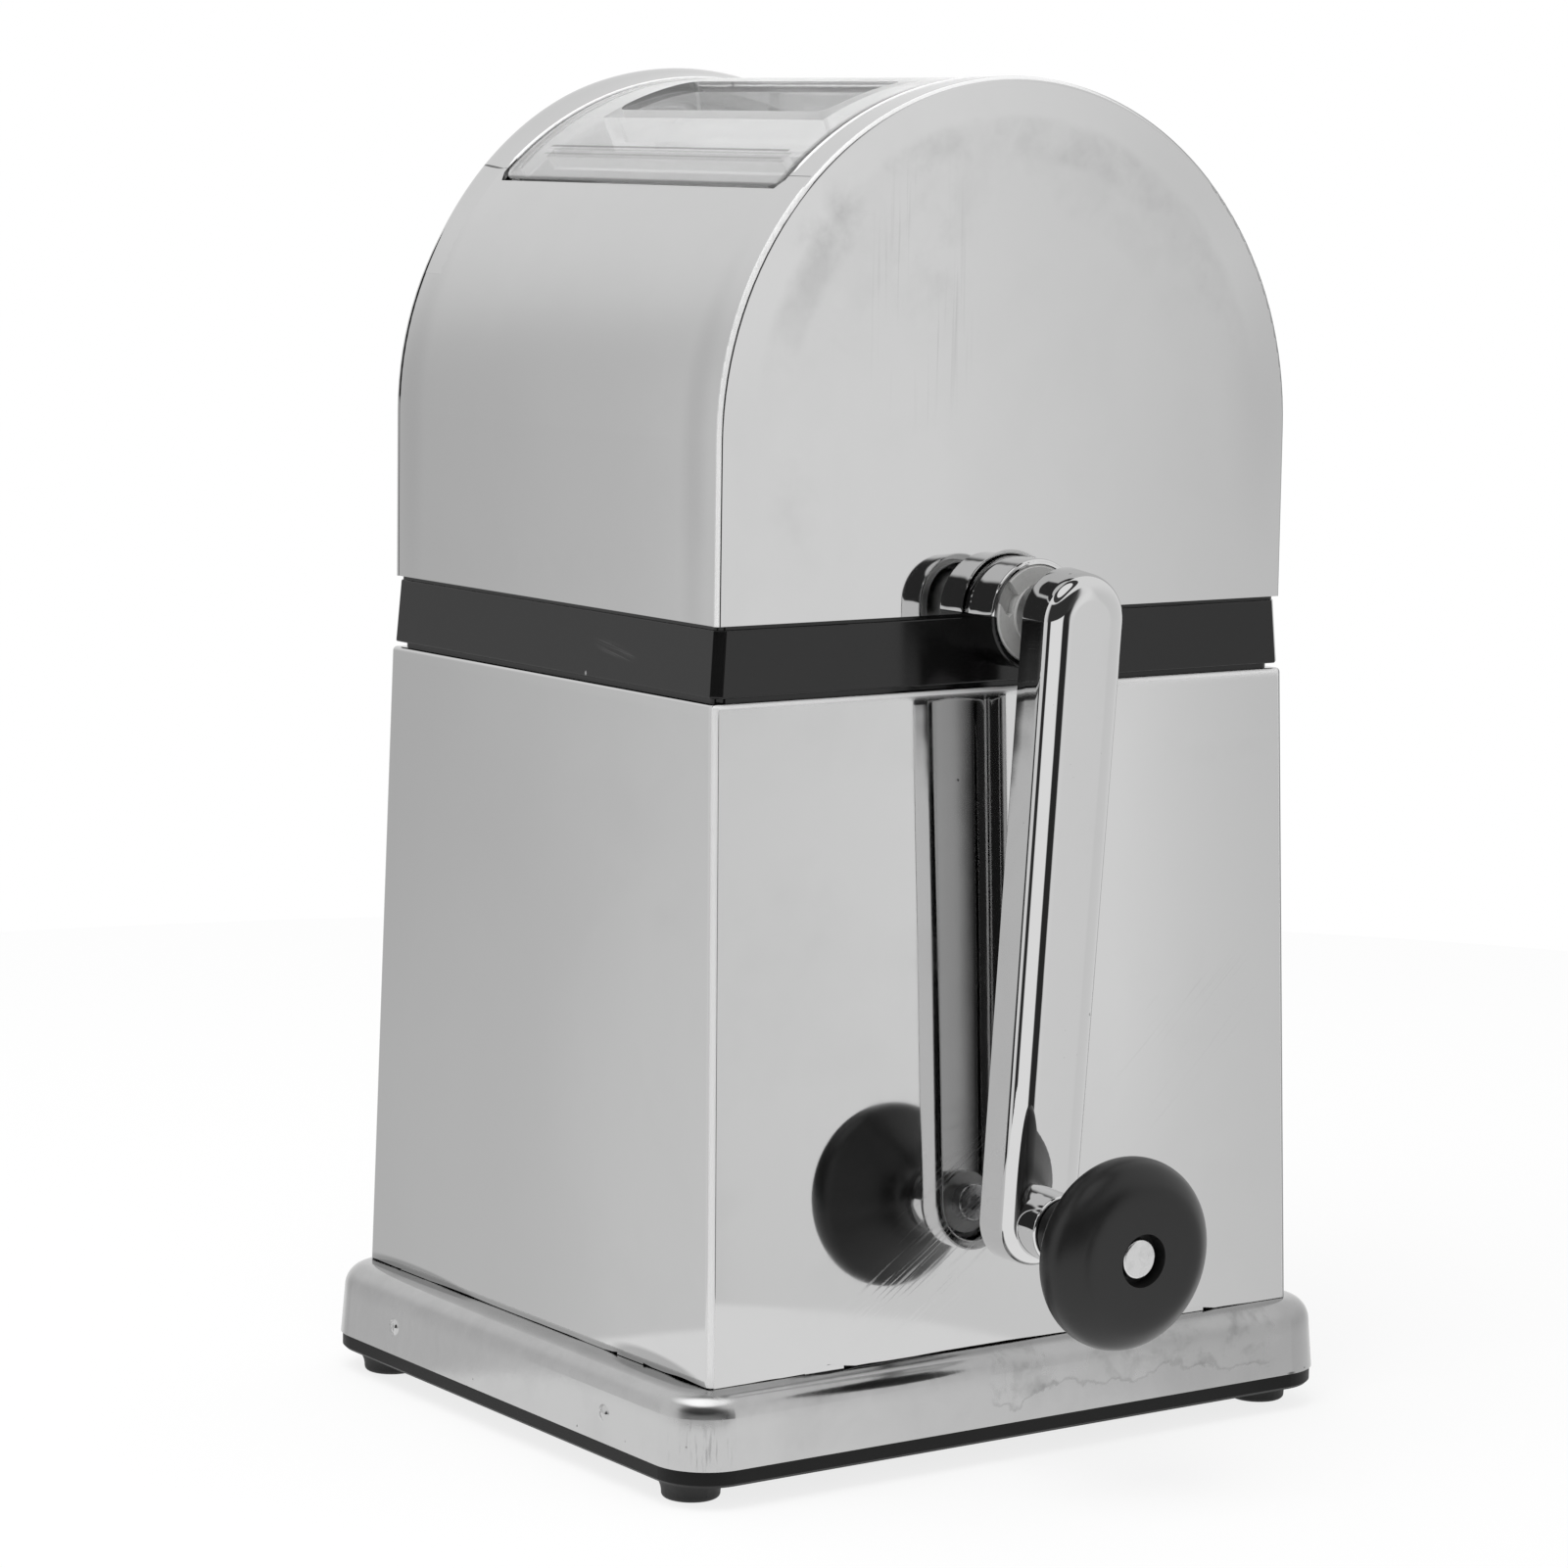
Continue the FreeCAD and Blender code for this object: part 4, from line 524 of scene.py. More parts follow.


# Shares of the way a surface faces sideways, between which a rounded edge of the sheet lies:
# two rising, two falling. On that edge a painted highlight lies where it faces the front, painted shade where
# it faces behind.
SHEET_EDGES = (0.22, 0.46, 0.90, 0.975)
RAIL_EDGES = (0.55, 0.80, 0.90, 0.975)
HOUSING_EDGES = (0.35, 0.55, 0.992, 0.9985)
FACES_BEHIND = (0.10, 0.35)


def painted_edge_light(finish, limits):
    """Masks of painted light on the sheet's rounded edges: a painted highlight where they face the front,
    painted shade where they face behind.
    """
    normal = add(finish.tree, "ShaderNodeNewGeometry").outputs["Normal"]
    east, north = axes(finish.tree, normal)[:2]
    sideways = finish.size_of(east)
    between = finish.times(finish.step(sideways, limits[0], limits[1]),
                           finish.step(sideways, limits[3], limits[2]))
    behind = finish.step(north, *FACES_BEHIND)
    return (finish.times(between, finish.plus(finish.times(behind, -1.0), 1.0)),
            finish.times(between, behind))


STEEL_LEVEL, STEEL_ROUGHNESS = 0.6107, 0.035


def polished_sheet(name, offset, smudges, edges=SHEET_EDGES, edge_lift=0.34, shaped=None):
    """Mirror-polished sheet with rub marks, a painted highlight on its rounded edges that face the front and
    painted shade on those behind; smudges are (mask, tone, roughness), and edge_lift is how far the painted
    edge highlight lightens the colour.
    """
    finish = Finish(name, 1.0)
    haze = finish.haze(offset, 16.0, 0.5)
    hairlines = finish.drag((0.3, 0.0, 0.4), (0.02, 0.0004, 0.02), 0.66)
    specks = finish.specks(0.021, 0.00026, 0.35)
    marks = [(haze["Haze"], -0.035), (haze["Tone"], 0.05), (specks, -0.35)]
    rough = [(haze["Haze"], 0.06), (hairlines["Lines"], 0.02), (specks, 0.3)]
    for make, tone, roughness in smudges:
        mask = make(finish)
        marks.append((mask, tone))
        rough.append((mask, roughness))
    # painted highlight on the rounded edges that face the front, painted shade on those behind
    edge_highlight_mask, edge_shade_mask = painted_edge_light(finish, edges)
    finish.metallic(edge_highlight_mask, 0.20)
    finish.colour(STEEL_LEVEL, marks + [(edge_highlight_mask, edge_lift), (edge_shade_mask, -0.55)])
    finish.roughness(STEEL_ROUGHNESS, rough + [(edge_highlight_mask, 0.30)])
    heights = [(finish.ripple(13.0, 0.00022), 1.0), (haze["Tone"], 0.000006)]
    finish.raised(heights + (shaped(finish) if shaped else []))
    return finish.material


def at(centre, reach, turn=(0, 0, 0), softness=0.9, grain=None):
    """A smudge at one place, broken up by haze where grain says how fine."""
    def make(finish):
        mask = finish.patch(centre, reach, turn, softness)
        if grain:
            mask = finish.times(mask, finish.haze((centre[0] * MM, 0.3, 0.1), grain, 0.5)["Haze"])
        return mask
    return make


def wiped(centre, reach, turn, width, threshold=0.58):
    """A patch of fine parallel wipe lines."""
    def make(finish):
        mask = finish.patch(centre, reach, turn, 0.5)
        radians = tuple(math.radians(v) for v in turn)
        lines = finish.drag(radians, (0.05, width * MM, width * MM), threshold)["Lines"]
        return finish.times(mask, lines)
    return make


BAND_FADE, BAND_RISE = 2.5 * MM, 35 * MM


def along_rim(inner, outer, grain=None):
    """A band that follows the arch on a side panel, between two radii in millimetres."""
    def make(finish):
        north, high = finish.axes()[1:]
        high = finish.plus(high, -ARCH_CENTRE * MM)
        squares = finish.plus(finish.times(north, north), finish.times(high, high))
        radius = math_node(finish.tree, "SQRT", squares)
        band = finish.times(finish.step(radius, inner * MM - BAND_FADE, inner * MM),
                            finish.step(radius, outer * MM + BAND_FADE, outer * MM))
        band = finish.times(band, finish.step(high, 0.0, BAND_RISE))
        if grain:
            band = finish.times(band, finish.haze((0.6, 0.2, 0.7), grain, 0.5)["Haze"])
        return band
    return make


# Front and back covers and the top frame; the two tall darker patches near the front cover's side edges are
# painted shade of its rolled edges.
COVER_STEEL = polished_sheet("cover_steel", (0.2, 0.1, 0.0), [
    # painted shade inside the front cover's rolled side edges
    (at((50, -70, 195), (6, 22, 62)), -0.10, 0.03),
    (at((-52, -66, 200), (6, 30, 60)), -0.08, 0.04),
    (at((0, -66, 172), (60, 20, 9), grain=30.0), -0.03, 0.05)])
# Rails beside the lid, with the end of a seam in the plain side's rail.
RAIL_STEEL = polished_sheet("rail_steel", (0.6, 0.3, 0.1), [
    (at((-54.5, -47.4, 246.4), (4.6, 0.32, 3.0), (44, 0, 0), 0.4), -0.75, 0.1)], RAIL_EDGES)
# Arch-shaped side panels, with the marks of fingers and of wiping, and a painted light band just inside the
# arch edge.
PANEL_STEEL = polished_sheet("panel_steel", (0.0, 0.35, 0.2), [
    # painted light: a lighter band just inside the arch edge, for the shading of the rolled edge
    (along_rim(61.0, 66.5), 0.05, 0.03),
    (along_rim(53.5, 59.0, 60.0), -0.07, 0.10),
    (along_rim(44.0, 57.0, 38.0), -0.05, 0.05),
    (at((58, 62, 205), (6, 12, 40)), -0.07, 0.03),
    (at((58, 38, 247), (6, 26, 10), (-35, 0, 0)), -0.05, 0.05),
    (at((58, -20, 232), (6, 16, 22), softness=0.8, grain=45.0), -0.07, 0.10),
    (at((58, -45, 238), (6, 14, 8), (50, 0, 0), 0.8, 60.0), -0.09, 0.12),
    (wiped((58, -22, 225), (30, 16, 6), (0, 90, 0), 1.1), -0.06, 0.10),
    (at((58, -50, 188), (6, 10, 26), grain=35.0), -0.04, 0.08),
    (at((58, 10, 176), (6, 40, 8), grain=28.0), 0.03, 0.04)])
# Lower housing: cleaner than the covers, with diagonal wipe marks low on the crank side, painted dark
# reflections along the front foot where the sheet's edge bends out, and a fainter painted highlight on its
# corners.
HOUSING_STEEL = polished_sheet("housing_steel", (0.5, 0.0, 0.1), [
    (wiped((62, -10, 48), (38, 10, 16), (0, -34, 90), 0.55, 0.54), 0.05, 0.17),
    (wiped((62, 44, 78), (26, 10, 16), (0, -42, 90), 0.8, 0.60), -0.03, 0.07),
    # painted dark reflections of the front foot's bent-out edge
    (at((46, -70, 22.4), (18, 5, 3.2), (0, 3, 0), 0.3), -0.36, 0.03),
    (at((-42, -70, 22.2), (24, 5, 2.2), (0, 1, 0), 0.3), -0.36, 0.03),
    (at((58, 55, 135), (6, 24, 12), grain=30.0), -0.04, 0.06)], HOUSING_EDGES, 0.20, housing_bow)


# Dried stain on the base's crank wall, in metres: how far its edge wanders, and its limits.
STAIN_WANDER, STAIN_FOOT = 0.016, 0.0205
STAIN_SHIFT, STAIN_FROM, STAIN_TO = 0.012, 0.0, 0.066
STAIN_WALL = (0.064, 0.0655)
TIDE_MARK = (0.0013, 0.0003)
DENTED = (-39.8, -77, 13.2)
PRESSED = (38.7, -77, 13.2)


def base_stain(finish):
    """Masks of the stain, which has a wandering edge, and of the tide mark along its foot."""
    east, north, high = finish.axes()
    wander = noise_over(finish.tree, finish.position, 120.0, 4.0)
    reach = finish.plus(finish.times(wander, STAIN_WANDER), finish.plus(high, -STAIN_FOOT))
    low_edge = finish.step(reach, -0.0002, 0.0004)
    run = finish.plus(north, finish.times(wander, STAIN_SHIFT))
    ends = finish.times(finish.step(run, STAIN_FROM - 0.003, STAIN_FROM),
                        finish.step(run, STAIN_TO + 0.006, STAIN_TO))
    stain = finish.times(finish.times(low_edge, ends), finish.step(east, *STAIN_WALL))
    return stain, finish.times(stain, finish.step(reach, *TIDE_MARK))


def make_base_steel():
    """Base shell: satin from handling, with a dried stain on the crank side and pitted lower edge; painted
    shade darkens the crank wall towards the back, a painted dark reflection lies along the top rounding, and
    a painted highlight with a painted dark reflection beside it sits on the front corner.
    """
    finish = Finish("base_steel", 1.0)
    haze = finish.haze((0.1, 0.7, 0.3), 30.0, 0.47)
    fine = finish.haze((0.4, 0.2, 0.3), 120.0, 0.52)
    east, north, high = finish.axes()
    stain, tide = base_stain(finish)
    mottle = finish.times(stain, fine["Haze"])
    # painted shade: the crank wall darker towards the back
    painted_wall_shade = finish.times(finish.step(north, -0.072, 0.005), finish.step(east, 0.060, 0.067))
    pits = finish.times(finish.specks(0.0021, 0.00022, 0.5), finish.step(high, 0.0108, 0.0082))
    dots = finish.specks(0.009, 0.00028, 0.3)
    drag = finish.drag((0, math.pi / 2, 0), (0.012, 0.0008, 0.0008), 0.55)["Lines"]
    drag = finish.times(drag, finish.patch((66, -76, 12), (9, 12, 8), softness=0.8))
    rubbed = finish.patch((62, -74, 19), (16, 12, 5), softness=0.8)
    # worn is a painted highlight on the front corner, paler and less metallic; the patch beside it is a
    # painted dark reflection
    worn = finish.patch((64.4, -72.7, 20.4), (7, 7, 0.9))
    painted_corner_reflection = finish.patch((65.0, -73.2, 19.0), (5.5, 5.5, 0.9))
    # painted reflection: a darker band along the top rounding
    painted_top_reflection = finish.times(finish.step(high, 0.0150, 0.0195), fine["Tone"])
    dent_rim = finish.patch(DENTED, (1.9, 5, 1.9), softness=0.5)
    dent = finish.patch(DENTED, (1.1, 5, 1.1), softness=0.5)
    swelling = finish.patch(PRESSED, (1.9, 5, 1.9), softness=0.7)
    chips = finish.patch((77, 67.3, 7.9), (12, 2.0, 0.5), softness=0.4)
    finish.colour(0.53, [
        (haze["Haze"], -0.07), (haze["Tone"], 0.06), (stain, 0.08), (mottle, -0.15), (tide, -0.15),
        (painted_wall_shade, -0.13), (pits, -0.6), (dots, -0.4), (drag, -0.06), (painted_top_reflection, -0.22),
        (rubbed, 0.04), (worn, 0.70), (painted_corner_reflection, -0.6), (dent_rim, 0.10), (chips, -0.8)])
    finish.metallic(worn, 0.2)
    finish.roughness(0.11, [(haze["Haze"], 0.07), (stain, 0.14), (mottle, 0.08), (fine["Haze"], 0.03),
                            (pits, 0.3), (drag, 0.15), (rubbed, 0.22)])
    finish.raised([(finish.ripple(45.0, 0.00012), 1.0), (fine["Tone"], 0.00003), (stain, -0.00001),
                   (pits, -0.00006), (dent_rim, 0.00030), (dent, -0.00022), (swelling, 0.00030)])
    return finish.material


def make_arm_chrome():
    """Chromed casting of the crank arm: small pits and a faint flow in the plating."""
    finish = Finish("arm_chrome", 1.0)
    haze = finish.haze((0.9, 0.1, 0.4), 55.0, 0.54)
    pits = finish.specks(0.0065, 0.00028, 0.32)
    fine_pits = finish.specks(0.0024, 0.00010, 0.3)
    finish.colour(0.66, [(haze["Haze"], -0.03), (haze["Tone"], 0.04), (pits, -0.35), (fine_pits, -0.2)])
    finish.roughness(0.018, [(haze["Haze"], 0.035), (pits, 0.4), (fine_pits, 0.2)])
    flow = finish.grain(700.0)["Height"]
    finish.raised([(finish.ripple(95.0, 0.00004), 1.0), (flow, 0.0000012), (pits, -0.00005)])
    return finish.material


def make_boss_chrome():
    """Chrome of the bearing cap and the knob ferrule, with nicks on the edges."""
    finish = Finish("boss_chrome", 1.0)
    haze = finish.haze((0.3, 0.9, 0.4), 160.0, 0.56)["Haze"]
    pits = finish.specks(0.0035, 0.00024, 0.35)
    finish.colour(0.70, [(haze, -0.06), (pits, -0.4)])
    finish.roughness(0.02, [(haze, 0.05), (pits, 0.3)])
    finish.raised([(finish.ripple(210.0, 0.00007), 1.0), (pits, -0.00004)])
    return finish.material


def make_axle_head():
    """Peened, polished head of the knob axle."""
    finish = Finish("axle_bright", 1.0)
    haze = finish.haze((0.6, 0.2, 0.9), 420.0, 0.5)
    finish.colour(0.70, [(haze["Haze"], -0.10), (haze["Tone"], 0.06)])
    finish.roughness(0.16, [(haze["Haze"], 0.12)])
    finish.raised([(haze["Tone"], 0.00004)])
    return finish.material


def make_tool_steel():
    """Stamped and belt-ground blades, combs and shaft."""
    finish = Finish("tool_steel", 1.0)
    lines = finish.drag((math.radians(35), 0, 0), (0.0007, 0.018, 0.0004), 0.5)
    haze = finish.haze((0.0, 0.5, 0.9), 90.0, 0.5)["Haze"]
    finish.colour(0.5, [(lines["Lines"], -0.14), (haze, -0.08)], (1.0, 1.0, 1.015))
    finish.roughness(0.26, [(lines["Tone"], 0.12), (haze, 0.08)])
    finish.raised([(lines["Tone"], 0.00002)])
    return finish.material


def grained(name, metallic, level, rough, grain, haze, tint=PLAIN_TINT):
    """One even grain and one haze over metal or rubber.

    grain is (per metre, tone of its peaks, roughness, metres high) and haze is
    (offset, per metre, threshold, tone, roughness)."""
    finish = Finish(name, metallic)
    per_metre, peaks, grain_rough, height = grain
    offset, haze_size, threshold, tone, haze_rough = haze
    grain = finish.grain(per_metre)
    cloud = finish.haze(offset, haze_size, threshold)["Haze"]
    finish.colour(level, [(grain["Peaks"], peaks), (cloud, tone)], tint)
    finish.roughness(rough, [(grain["Height"], grain_rough), (cloud, haze_rough)])
    finish.raised([(grain["Height"], height)])
    return finish.material


def black_moulding(name, level, rough, grain_size, grain_height, dust, scuffs=(), gloss=0.42):
    """Black plastic; dust lies on it as pale grains, scuffs are (mask, lift, roughness)."""
    finish = Finish(name, Specular_IOR_Level=gloss)
    grain = finish.grain(grain_size)["Height"]
    haze = finish.haze((0.7, 0.3, 0.5), 34.0, 0.52)["Haze"]
    grains = finish.specks(0.0085, 0.00016, dust)
    hairs = finish.drag((0.5, 0.2, 0.9), (0.012, 0.00025, 0.012), 0.70)["Lines"]
    marks = [(haze, 0.25), (grains, 12.0), (hairs, 0.8)]
    rougher = [(haze, 0.05), (grain, 0.04), (grains, 0.4), (hairs, 0.1)]
    for make, lift_by, roughness in scuffs:
        mask = make(finish)
        marks.append((mask, lift_by))
        rougher.append((mask, roughness))
    finish.colour(level, marks)
    finish.roughness(rough, rougher)
    finish.raised([(grain, grain_height), (grains, 0.00004)])
    return finish.material


def make_white_plastic():
    """Hopper and ice bin: white moulding, slightly worn by ice."""
    finish = Finish("white_plastic")
    haze = finish.haze((0.8, 0.6, 0.2), 40.0, 0.5)
    scratches = finish.drag((0.9, 1.2, 0.2), (0.02, 0.0003, 0.0003), 0.66)
    finish.colour(0.80, [(haze["Haze"], -0.04), (scratches["Lines"], -0.05)], (1.0, 0.998, 0.985))
    finish.roughness(0.26, [(haze["Haze"], 0.12), (scratches["Lines"], 0.15)])
    finish.raised([(haze["Tone"], 0.00003), (scratches["Tone"], 0.000003)])
    return finish.material


def make_nylon():
    """Turned nylon bush."""
    finish = Finish("grey_nylon")
    rings = finish.group(TURNED, Axis=(0, 0, 0.164), Pitch=0.00035)
    grain = finish.grain(1200.0)
    finish.colour(0.46, [(rings["Tone"], 0.05), (grain["Peaks"], -0.08)], (1.0, 1.0, 0.985))
    finish.roughness(0.36, [(rings["Height"], 0.1)])
    finish.raised([(rings["Height"], 0.00001), (grain["Height"], 0.000008)])
    return finish.material


LID_HALF, LID_FRONT = 48.9 * MM, math.radians(43.8)
RIB_HALF, RIB_FADE = 41.3 * MM, 0.3 * MM
# Places and half widths, in degrees along the arch, of the painted shade lines that stand for the lid's ribs.
UPPER_RIB, LOWER_RIB = (52.2, 0.24), (50.2, 0.20)
LOWER_RIB_SHARE = 0.6
LINE_FADE = (1.6, 0.5)
# How far in from the lid's sides and front the painted edge shade reaches, and how dark the painted shadow of
# the near gap is.
EDGE_BAND, GAP_BAND, GAP_SHARE = (0.9 * MM, 0.3 * MM), (2.6 * MM, 1.0 * MM), 0.75
FRONT_BAND = (math.radians(1.0), math.radians(0.3))
CLEAR_SHADOW = 0.15


def line_at(finish, climb, degrees, half):
    """A thin soft line across the lid at one place along the arch."""
    off = finish.size_of(finish.plus(climb, -math.radians(degrees)))
    return finish.step(off, math.radians(half * LINE_FADE[0]), math.radians(half * LINE_FADE[1]))


def make_clear():
    """Clear lid: wipe haze and fine scratches in its gloss, painted shade on its edges and along its ribs,
    and a painted shadow in the gap beside it; it lets light down into the hopper.
    """
    finish = Finish("clear_lid", Transmission_Weight=0.78, IOR=1.40)
    haze = finish.haze((0.2, 0.2, 0.2), 60.0, 0.56)["Haze"]
    wipes = finish.drag((0.2, 0.3, 1.3), (0.03, 0.0007, 0.0007), 0.62)["Lines"]
    east, north, high = finish.axes()
    sideways = finish.size_of(east)
    climb = math_node(finish.tree, "ARCTAN2", finish.plus(high, -ARCH_CENTRE * MM), finish.times(north, -1.0))
    # painted shade on the moulded edges, standing for the dark look of thick clear plastic end-on, and a
    # painted shadow in the near gap
    painted_lid_edge_shade, painted_gap_shadow = (finish.step(place, LID_HALF - band[0], LID_HALF - band[1])
                           for place, band in ((sideways, EDGE_BAND), (east, GAP_BAND)))
    painted_lid_edge_shade = finish.plus(painted_lid_edge_shade, finish.times(painted_gap_shadow, GAP_SHARE), clamp=True)
    painted_lid_front_shade = finish.step(climb, LID_FRONT + FRONT_BAND[0], LID_FRONT + FRONT_BAND[1])
    edges = math_node(finish.tree, "MAXIMUM", painted_lid_edge_shade, painted_lid_front_shade)
    # painted shade lines where the lid's ribs are
    lower_rib = finish.times(line_at(finish, climb, *LOWER_RIB), LOWER_RIB_SHARE)
    ribs = finish.times(finish.plus(line_at(finish, climb, *UPPER_RIB), lower_rib),
                        finish.step(sideways, RIB_HALF + RIB_FADE, RIB_HALF))
    finish.colour(0.91, [(haze, -0.03), (wipes, -0.03), (edges, -0.80), (ribs, -0.65)], (0.998, 1.0, 1.0))
    finish.roughness(0.03, [(haze, 0.03), (wipes, 0.03)])
    finish.raised([(finish.ripple(70.0, 0.00010), 1.0)])
    shadow = add(finish.tree, "ShaderNodeLightPath").outputs["Is Shadow Ray"]
    solidity = finish.plus(finish.times(shadow, CLEAR_SHADOW - 1.0), 1.0)
    feed(finish.tree, finish.shader.inputs["Alpha"], solidity)
    return finish.material


# Glossy band with a few scuffs near its top edge and a grain of dust.
BAND_BLACK = black_moulding("band_black", 0.0045, 0.10, 900.0, 0.000002, 0.10, [
    (wiped((24, -68, 156.5), (9, 4, 1.6), (0, 8, 0), 0.22, 0.5), 9.0, 0.3),
    (at((14.5, -68.4, 151.2), (0.45, 1.2, 0.6), softness=0.5), 60.0, 0.4),
    (wiped((60, -30, 156), (4, 20, 5), (35, 0, 90), 0.25, 0.62), 3.0, 0.2)])
# Knob: pressed phenolic, softly polished, with handling haze round its rim.
KNOB_BLACK = black_moulding("knob_black", 0.0095, 0.30, 1400.0, 0.000004, 0.14, [
    (at((101, -3, 49), (9, 20, 20), grain=90.0), 0.5, 0.10)])
# Moulded base plate with a fine matt grain.
BASE_BLACK = black_moulding("base_black", 0.0050, 0.45, 2600.0, 0.000020, 0.10, gloss=0.22)
# Rubber feet, dull, with a trace of dust on the grain.
RUBBER = grained("black_rubber", 0.0, 0.010, 0.55, (1900.0, 0.8, 0.2, 0.00003),
                 ((0.1, 0.1, 0.1), 300.0, 0.55, 0.9, 0.0))
# Plated screws and pins: turned, then barrel-plated.
FASTENER = grained("bright_fastener", 1.0, 0.62, 0.17, (2400.0, -0.08, 0.1, 0.000008),
                   ((0.2, 0.2, 0.9), 260.0, 0.5, -0.08, 0.08), (1.0, 1.0, 1.01))
# Unpolished inside of the arm casting: its posts and seats.
CAST_SATIN = grained("cast_satin", 1.0, 0.58, 0.36, (1500.0, -0.10, 0.12, 0.000015),
                     ((0.1, 0.8, 0.6), 120.0, 0.5, -0.10, 0.0))
# Folded edges of the sheet with a painted highlight: a pale, barely metallic copy of the steel, softer than
# its faces.
HEM_HIGHLIGHT = grained("hem_painted_highlight", 0.15, 0.93, 0.30, (900.0, -0.06, 0.0, 0.000006),
                    ((0.3, 0.3, 0.1), 70.0, 0.5, -0.07, 0.1))

SLOT_FINISH = {
    "polished_steel": COVER_STEEL, "chromed_zinc": make_boss_chrome(), "bright_fastener": FASTENER,
    "tool_steel": make_tool_steel(), "black_plastic": BAND_BLACK, "black_base": BASE_BLACK,
    "white_plastic": make_white_plastic(), "grey_nylon": make_nylon(), "clear_plastic": make_clear(),
    "black_rubber": RUBBER,
}
ARM_CHROME = make_arm_chrome()
NODE_FINISH = {
    "crank_side_panel": PANEL_STEEL, "plain_side_panel": PANEL_STEEL, "lower_housing": HOUSING_STEEL,
    "base_shell": make_base_steel(), "crank_arm": ARM_CHROME, "knob": KNOB_BLACK,
    "knob_axle": make_axle_head(),
}


def dress_nodes():
    """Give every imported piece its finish."""
    slots = {part["node"]: part["material_slot"] for part in frame["record"]["subparts"]}
    for name, node in frame["nodes"].items():
        finish = NODE_FINISH[name] if name in NODE_FINISH else SLOT_FINISH[slots[name]]
        for slot in node.material_slots:
            slot.link = "OBJECT"
            slot.material = finish


# ---------------------------------------------------------------- mesh helpers

SHARP_FROM = math.radians(35.0)


def new_mesh(name, vertices, faces):
    """A mesh from plain lists, with its faces turned outward."""
    mesh = bpy.data.meshes.new(name)
    mesh.from_pydata([tuple(v) for v in vertices], [], faces)
    mesh.validate()
    shape = bmesh.new()
    shape.from_mesh(mesh)
    bmesh.ops.recalc_face_normals(shape, faces=shape.faces)
    shape.to_mesh(mesh)
    shape.free()
    return mesh


def new_piece(name, body, slot, vertices, faces, finish):
    """Make one named piece, smooth except along its sharp edges, riding with its body."""
    mesh = new_mesh(name, vertices, faces)
    mesh.polygons.foreach_set("use_smooth", [True] * len(mesh.polygons))
    mesh.set_sharp_from_angle(angle=SHARP_FROM)
    mesh.materials.append(finish)
    piece = bpy.data.objects.new(name, mesh)
    bpy.context.collection.objects.link(piece)
    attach(piece, body)
    return piece


def cut_away(piece, vertices, faces):
    """Cut a closed shell out of a piece."""
    cutter = bpy.data.objects.new("cutter", new_mesh("cutter", vertices, faces))
    bpy.context.collection.objects.link(cutter)
    change = piece.modifiers.new("cut", "BOOLEAN")
    change.operation = "DIFFERENCE"
    change.solver = "EXACT"
    change.object = cutter
    bpy.context.view_layer.update()
    done = bpy.data.meshes.new_from_object(piece.evaluated_get(bpy.context.evaluated_depsgraph_get()))
    piece.modifiers.clear()
    piece.data = done
    bpy.data.objects.remove(cutter)
    piece.data.set_sharp_from_angle(angle=SHARP_FROM)


def skin_rings(rings, closed=False):
    """Vertices and faces through a stack of rings with as many points each.

    Open stacks are capped at both ends; closed ones join the last ring to the first."""
    count = len(rings[0])
    vertices = [point for ring in rings for point in ring]
    faces = []
    pairs = list(zip(range(len(rings)), range(1, len(rings))))
    if closed:
        pairs.append((len(rings) - 1, 0))
    for low, high in pairs:
        for step in range(count):
            after = (step + 1) % count
            faces.append((low * count + step, low * count + after, high * count + after, high * count + step))
    if not closed:
        faces.append(tuple(range(count))[::-1])
        faces.append(tuple((len(rings) - 1) * count + step for step in range(count)))
    return vertices, faces


def gather(shells):
    """Join several closed shells into one list of vertices and faces."""
    vertices, faces = [], []
    for shell_vertices, shell_faces in shells:
        start = len(vertices)
        vertices += shell_vertices
        faces += [tuple(start + index for index in face) for face in shell_faces]
    return vertices, faces


def quarter(steps):
    """Sines and cosines over a quarter turn."""
    turns = [math.radians(90 * step / steps) for step in range(steps + 1)]
    return [(math.sin(turn), math.cos(turn)) for turn in turns]


# ---------------------------------------------------------------- crank arm

CRANK_HEIGHT = 164.0
BOSS_FACE = 66.6
ARM_BACK = 74.3
ARM_THROW = 115.0
ARM_LEAN, ARM_SWING = math.radians(2.44), math.radians(1.9)
ARM_HEAD, ARM_END = 9.65, 9.3
ARM_SIDESTEP = 0.1
ARM_REAR = -0.2
ARM_WALL_TOP = 5.2
ARM_DRAFT = 0.35
ARM_RIM, ARM_RIM_INSIDE = 1.9, 1.88
ARM_RIM_ROUND, ARM_RIM_FOOT = 0.4, 0.45
CHANNEL_FLOOR, CHANNEL_ROUND = 5.8, 3.2
# The front's rolling: degrees from the face where it starts, the step between rings down to
# CROWN_FINE_FROM and the finer one after it, and how its radius grows towards face and wall.
CROWN_START, CROWN_FINE_FROM = 86.0, 12.0
CROWN_STEP, CROWN_FINE_STEP = 3.0, 1.0
CROWN_RADIUS = 3.0
FACE_RADIUS, FACE_FADE = 11.0, 10.0
WALL_RADIUS, WALL_FADE = 2.5, 14.0
ROUND_POINTS, STRAIGHT_POINTS = 36, 10
POST_TOP = 7.2
HEAD_POST = 6.2
END_POST, END_POST_FOOT = 6.0, 2.8
SEAT_RADIUS, SEAT_FOOT, SEAT_TOP = 6.9, 7.0, 8.19
HUB_RADIUS, HUB_GAP, HUB_OVERLAP = 6.5, 2.0, 1.3
SET_SCREW_PLACE, SCREW_HOLE = 72.2, 1.5
DRIVE_HALF = 3.25


